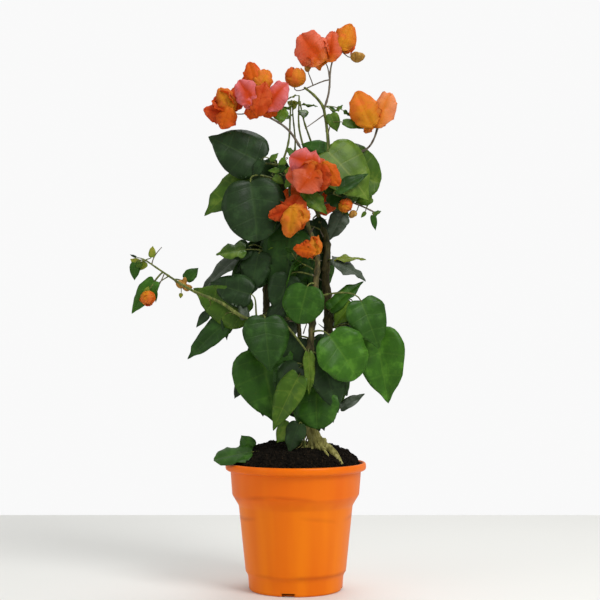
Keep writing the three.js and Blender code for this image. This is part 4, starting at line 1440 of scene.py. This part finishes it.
def addBud(middle, axis, radius):
    # a closed bud of folded bracts: an egg with three ribs
    rings = [budRing(middle, axis, radius, ring) for ring in range(1, budPlan["rings"])]
    foot, tip = middle - axis * radius * budPlan["long"], middle + axis * radius * budPlan["tip"]
    addToHeap(budHeap, *ringMesh([[foot], *rings, [tip]]))


for *middle, radius in budPlaces:
    middle, radius = np.array(middle) / 1000, radius / 1000
    hub = nearest(np.concatenate([limbPlaces] + [line for line, _ in twigLines]), middle)
    axis = unit(unit(middle - hub) + upward * budPlan["upTurn"])
    addBud(middle, axis, radius)
    twigLines.append(curvedStalk(hub, middle - axis * radius * budPlan["inside"], axis, *budPlan["twig"]))
print("buds made:", len(budPlaces))


def tubeTree():
    # a round tube along each line, as thick as the line's own radius says, a little uneven
    tree, given = addTree("stalkTubes", [
        ("Sides", "Int", 8), ("Step", "Float", 0.003), ("Grain", "Float", 260.0),
        ("Unevenness", "Float", 0.0002)])
    even = addNode(tree, "GeometryNodeResampleCurve", {"Curve": given["Geometry"], "Length": given["Step"]},
                   mode="LENGTH")
    ring = addNode(tree, "GeometryNodeCurvePrimitiveCircle", {"Radius": 1.0, "Resolution": given["Sides"]})
    tube = addNode(tree, "GeometryNodeCurveToMesh", {
        "Curve": even.outputs["Curve"], "Profile Curve": ring.outputs["Curve"], "Fill Caps": True,
        "Scale": addNode(tree, "GeometryNodeInputRadius").outputs["Radius"]})
    return endTree(tree, given, tube.outputs["Mesh"])


stalkTubes = tubeTree()


def makeTubes(name, lines, finish, unevenness):
    curve = bpy.data.curves.new(name, "CURVE")
    curve.dimensions = "3D"
    for line, radii in lines:
        spline = curve.splines.new("POLY")
        spline.points.add(len(line) - 1)
        spline.points.foreach_set("co", np.column_stack([line, np.ones(len(line))]).ravel())
        spline.points.foreach_set("radius", radii)
    piece = addModifier(addObject(name, curve), stalkTubes, {"Unevenness": unevenness, "Finish": finish})
    piece.data.shade_smooth()
    return piece


stalks = makeTubes("leaf_stalks", stalkLines, barkFinishes["green_shoot"], 0.0002)
twigs = makeTubes("flower_twigs", twigLines, barkFinishes["twig"], 0.0003)
flowers = makeTubes("tube_flowers", flowerLines, barkFinishes["tube_flower"], 0.0002)
print("stalks and twigs made:", len(stalkLines) + len(twigLines))


def finishPiece(piece, slot, *nodes):
    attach(piece, "root")
    if nodes:
        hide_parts(*nodes)


finishPiece(pot, "pot_plastic", "pot")
finishPiece(soil, "soil", "soil")
finishPiece(crumbs, "soil")
finishPiece(crown, "bark", "trunk")
for name, piece in limbPieces.items():
    finishPiece(piece, "bark" if name in stemNames else "green_shoot", name)
finishPiece(stalks, "green_shoot")
finishPiece(twigs, "green_shoot")
finishPiece(flowers, "bract")
finishPiece(heapMesh("flower_buds", budHeap, barkFinishes["bud"]), "bract")
for tone, heap in leafHeaps.items():
    piece = bladeMesh("leaves_" + tone, heap, leafFinishes[tone])
    finishPiece(piece, "young_leaf" if tone == "young" else "leaf", *tonesOf[tone])
for tone, heap in bractHeaps.items():
    finishPiece(bladeMesh("bracts_" + tone, heap, bractFinishes[tone]), "bract", *bloomTones[tone])


floorPlan = dict(wide=1.2, deep=0.67, colour=(0.76, 0.76, 0.73), rough=0.6, sheen=0.2)
skyPlan = dict(seen=0.95, lit=0.55)  # a near-white wall of light to look at, with softer light coming from it
lampPlan = {  # place, what it points at, size and power
    "key": ((1.0, -1.2, 1.7), (0, 0, 0.35), 0.8, 27),
    "fill": ((-1.5, -1.0, 0.8), (0, 0, 0.3), 1.0, 4.0),
    "top": ((0.2, 0.6, 1.9), (0, 0, 0.4), 0.9, 13),
}


def makeFloor():
    wide, deep = floorPlan["wide"], floorPlan["deep"]
    finish, tree, shader = newMaterial("pale_floor")
    dress(tree, shader, floorPlan["colour"], floorPlan["rough"], floorPlan["sheen"])
    return plainMesh("floor", [(-wide, -deep, 0), (wide, -deep, 0), (wide, deep, 0), (-wide, deep, 0)],
                     [(0, 1, 2, 3)], finish)


def addSky():
    sky = bpy.data.worlds.new("studio")
    sky.use_nodes = True
    tree = sky.node_tree
    path = addNode(tree, "ShaderNodeLightPath")
    mix = addNode(tree, "ShaderNodeMix", {"Factor": path.outputs["Is Camera Ray"], "A": skyPlan["lit"],
                                          "B": skyPlan["seen"]})
    feed(tree, tree.nodes["Background"], {"Color": (1.0, 1.0, 1.0), "Strength": mix.outputs["Result"]})
    world.world = sky


makeFloor()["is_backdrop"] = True
for name, (place, aim, size, power) in lampPlan.items():
    light = bpy.data.lights.new(name, "AREA")
    light.size, light.energy = size, power
    lamp = addObject(name, light)
    lamp.location = place
    lamp.rotation_euler = (Vector(aim) - Vector(place)).to_track_quat("-Z", "Y").to_euler()
addSky()
world.view_settings.view_transform = "Standard"

lens = bpy.data.cameras.new("camera")
lens.lens, lens.sensor_width = cameraPlan["lens"], cameraPlan["sensor"]
camera = addObject("camera", lens)
camera.location = cameraPlan["place"]
camera.rotation_euler = (math.radians(90 + cameraPlan["tilt"]), 0, 0)
world.camera = camera
print("stage set")

boxes = [[list(corner) for corner in box] for box in (cadBox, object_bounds())]
dict(cad=boxes[0], visual=boxes[1])
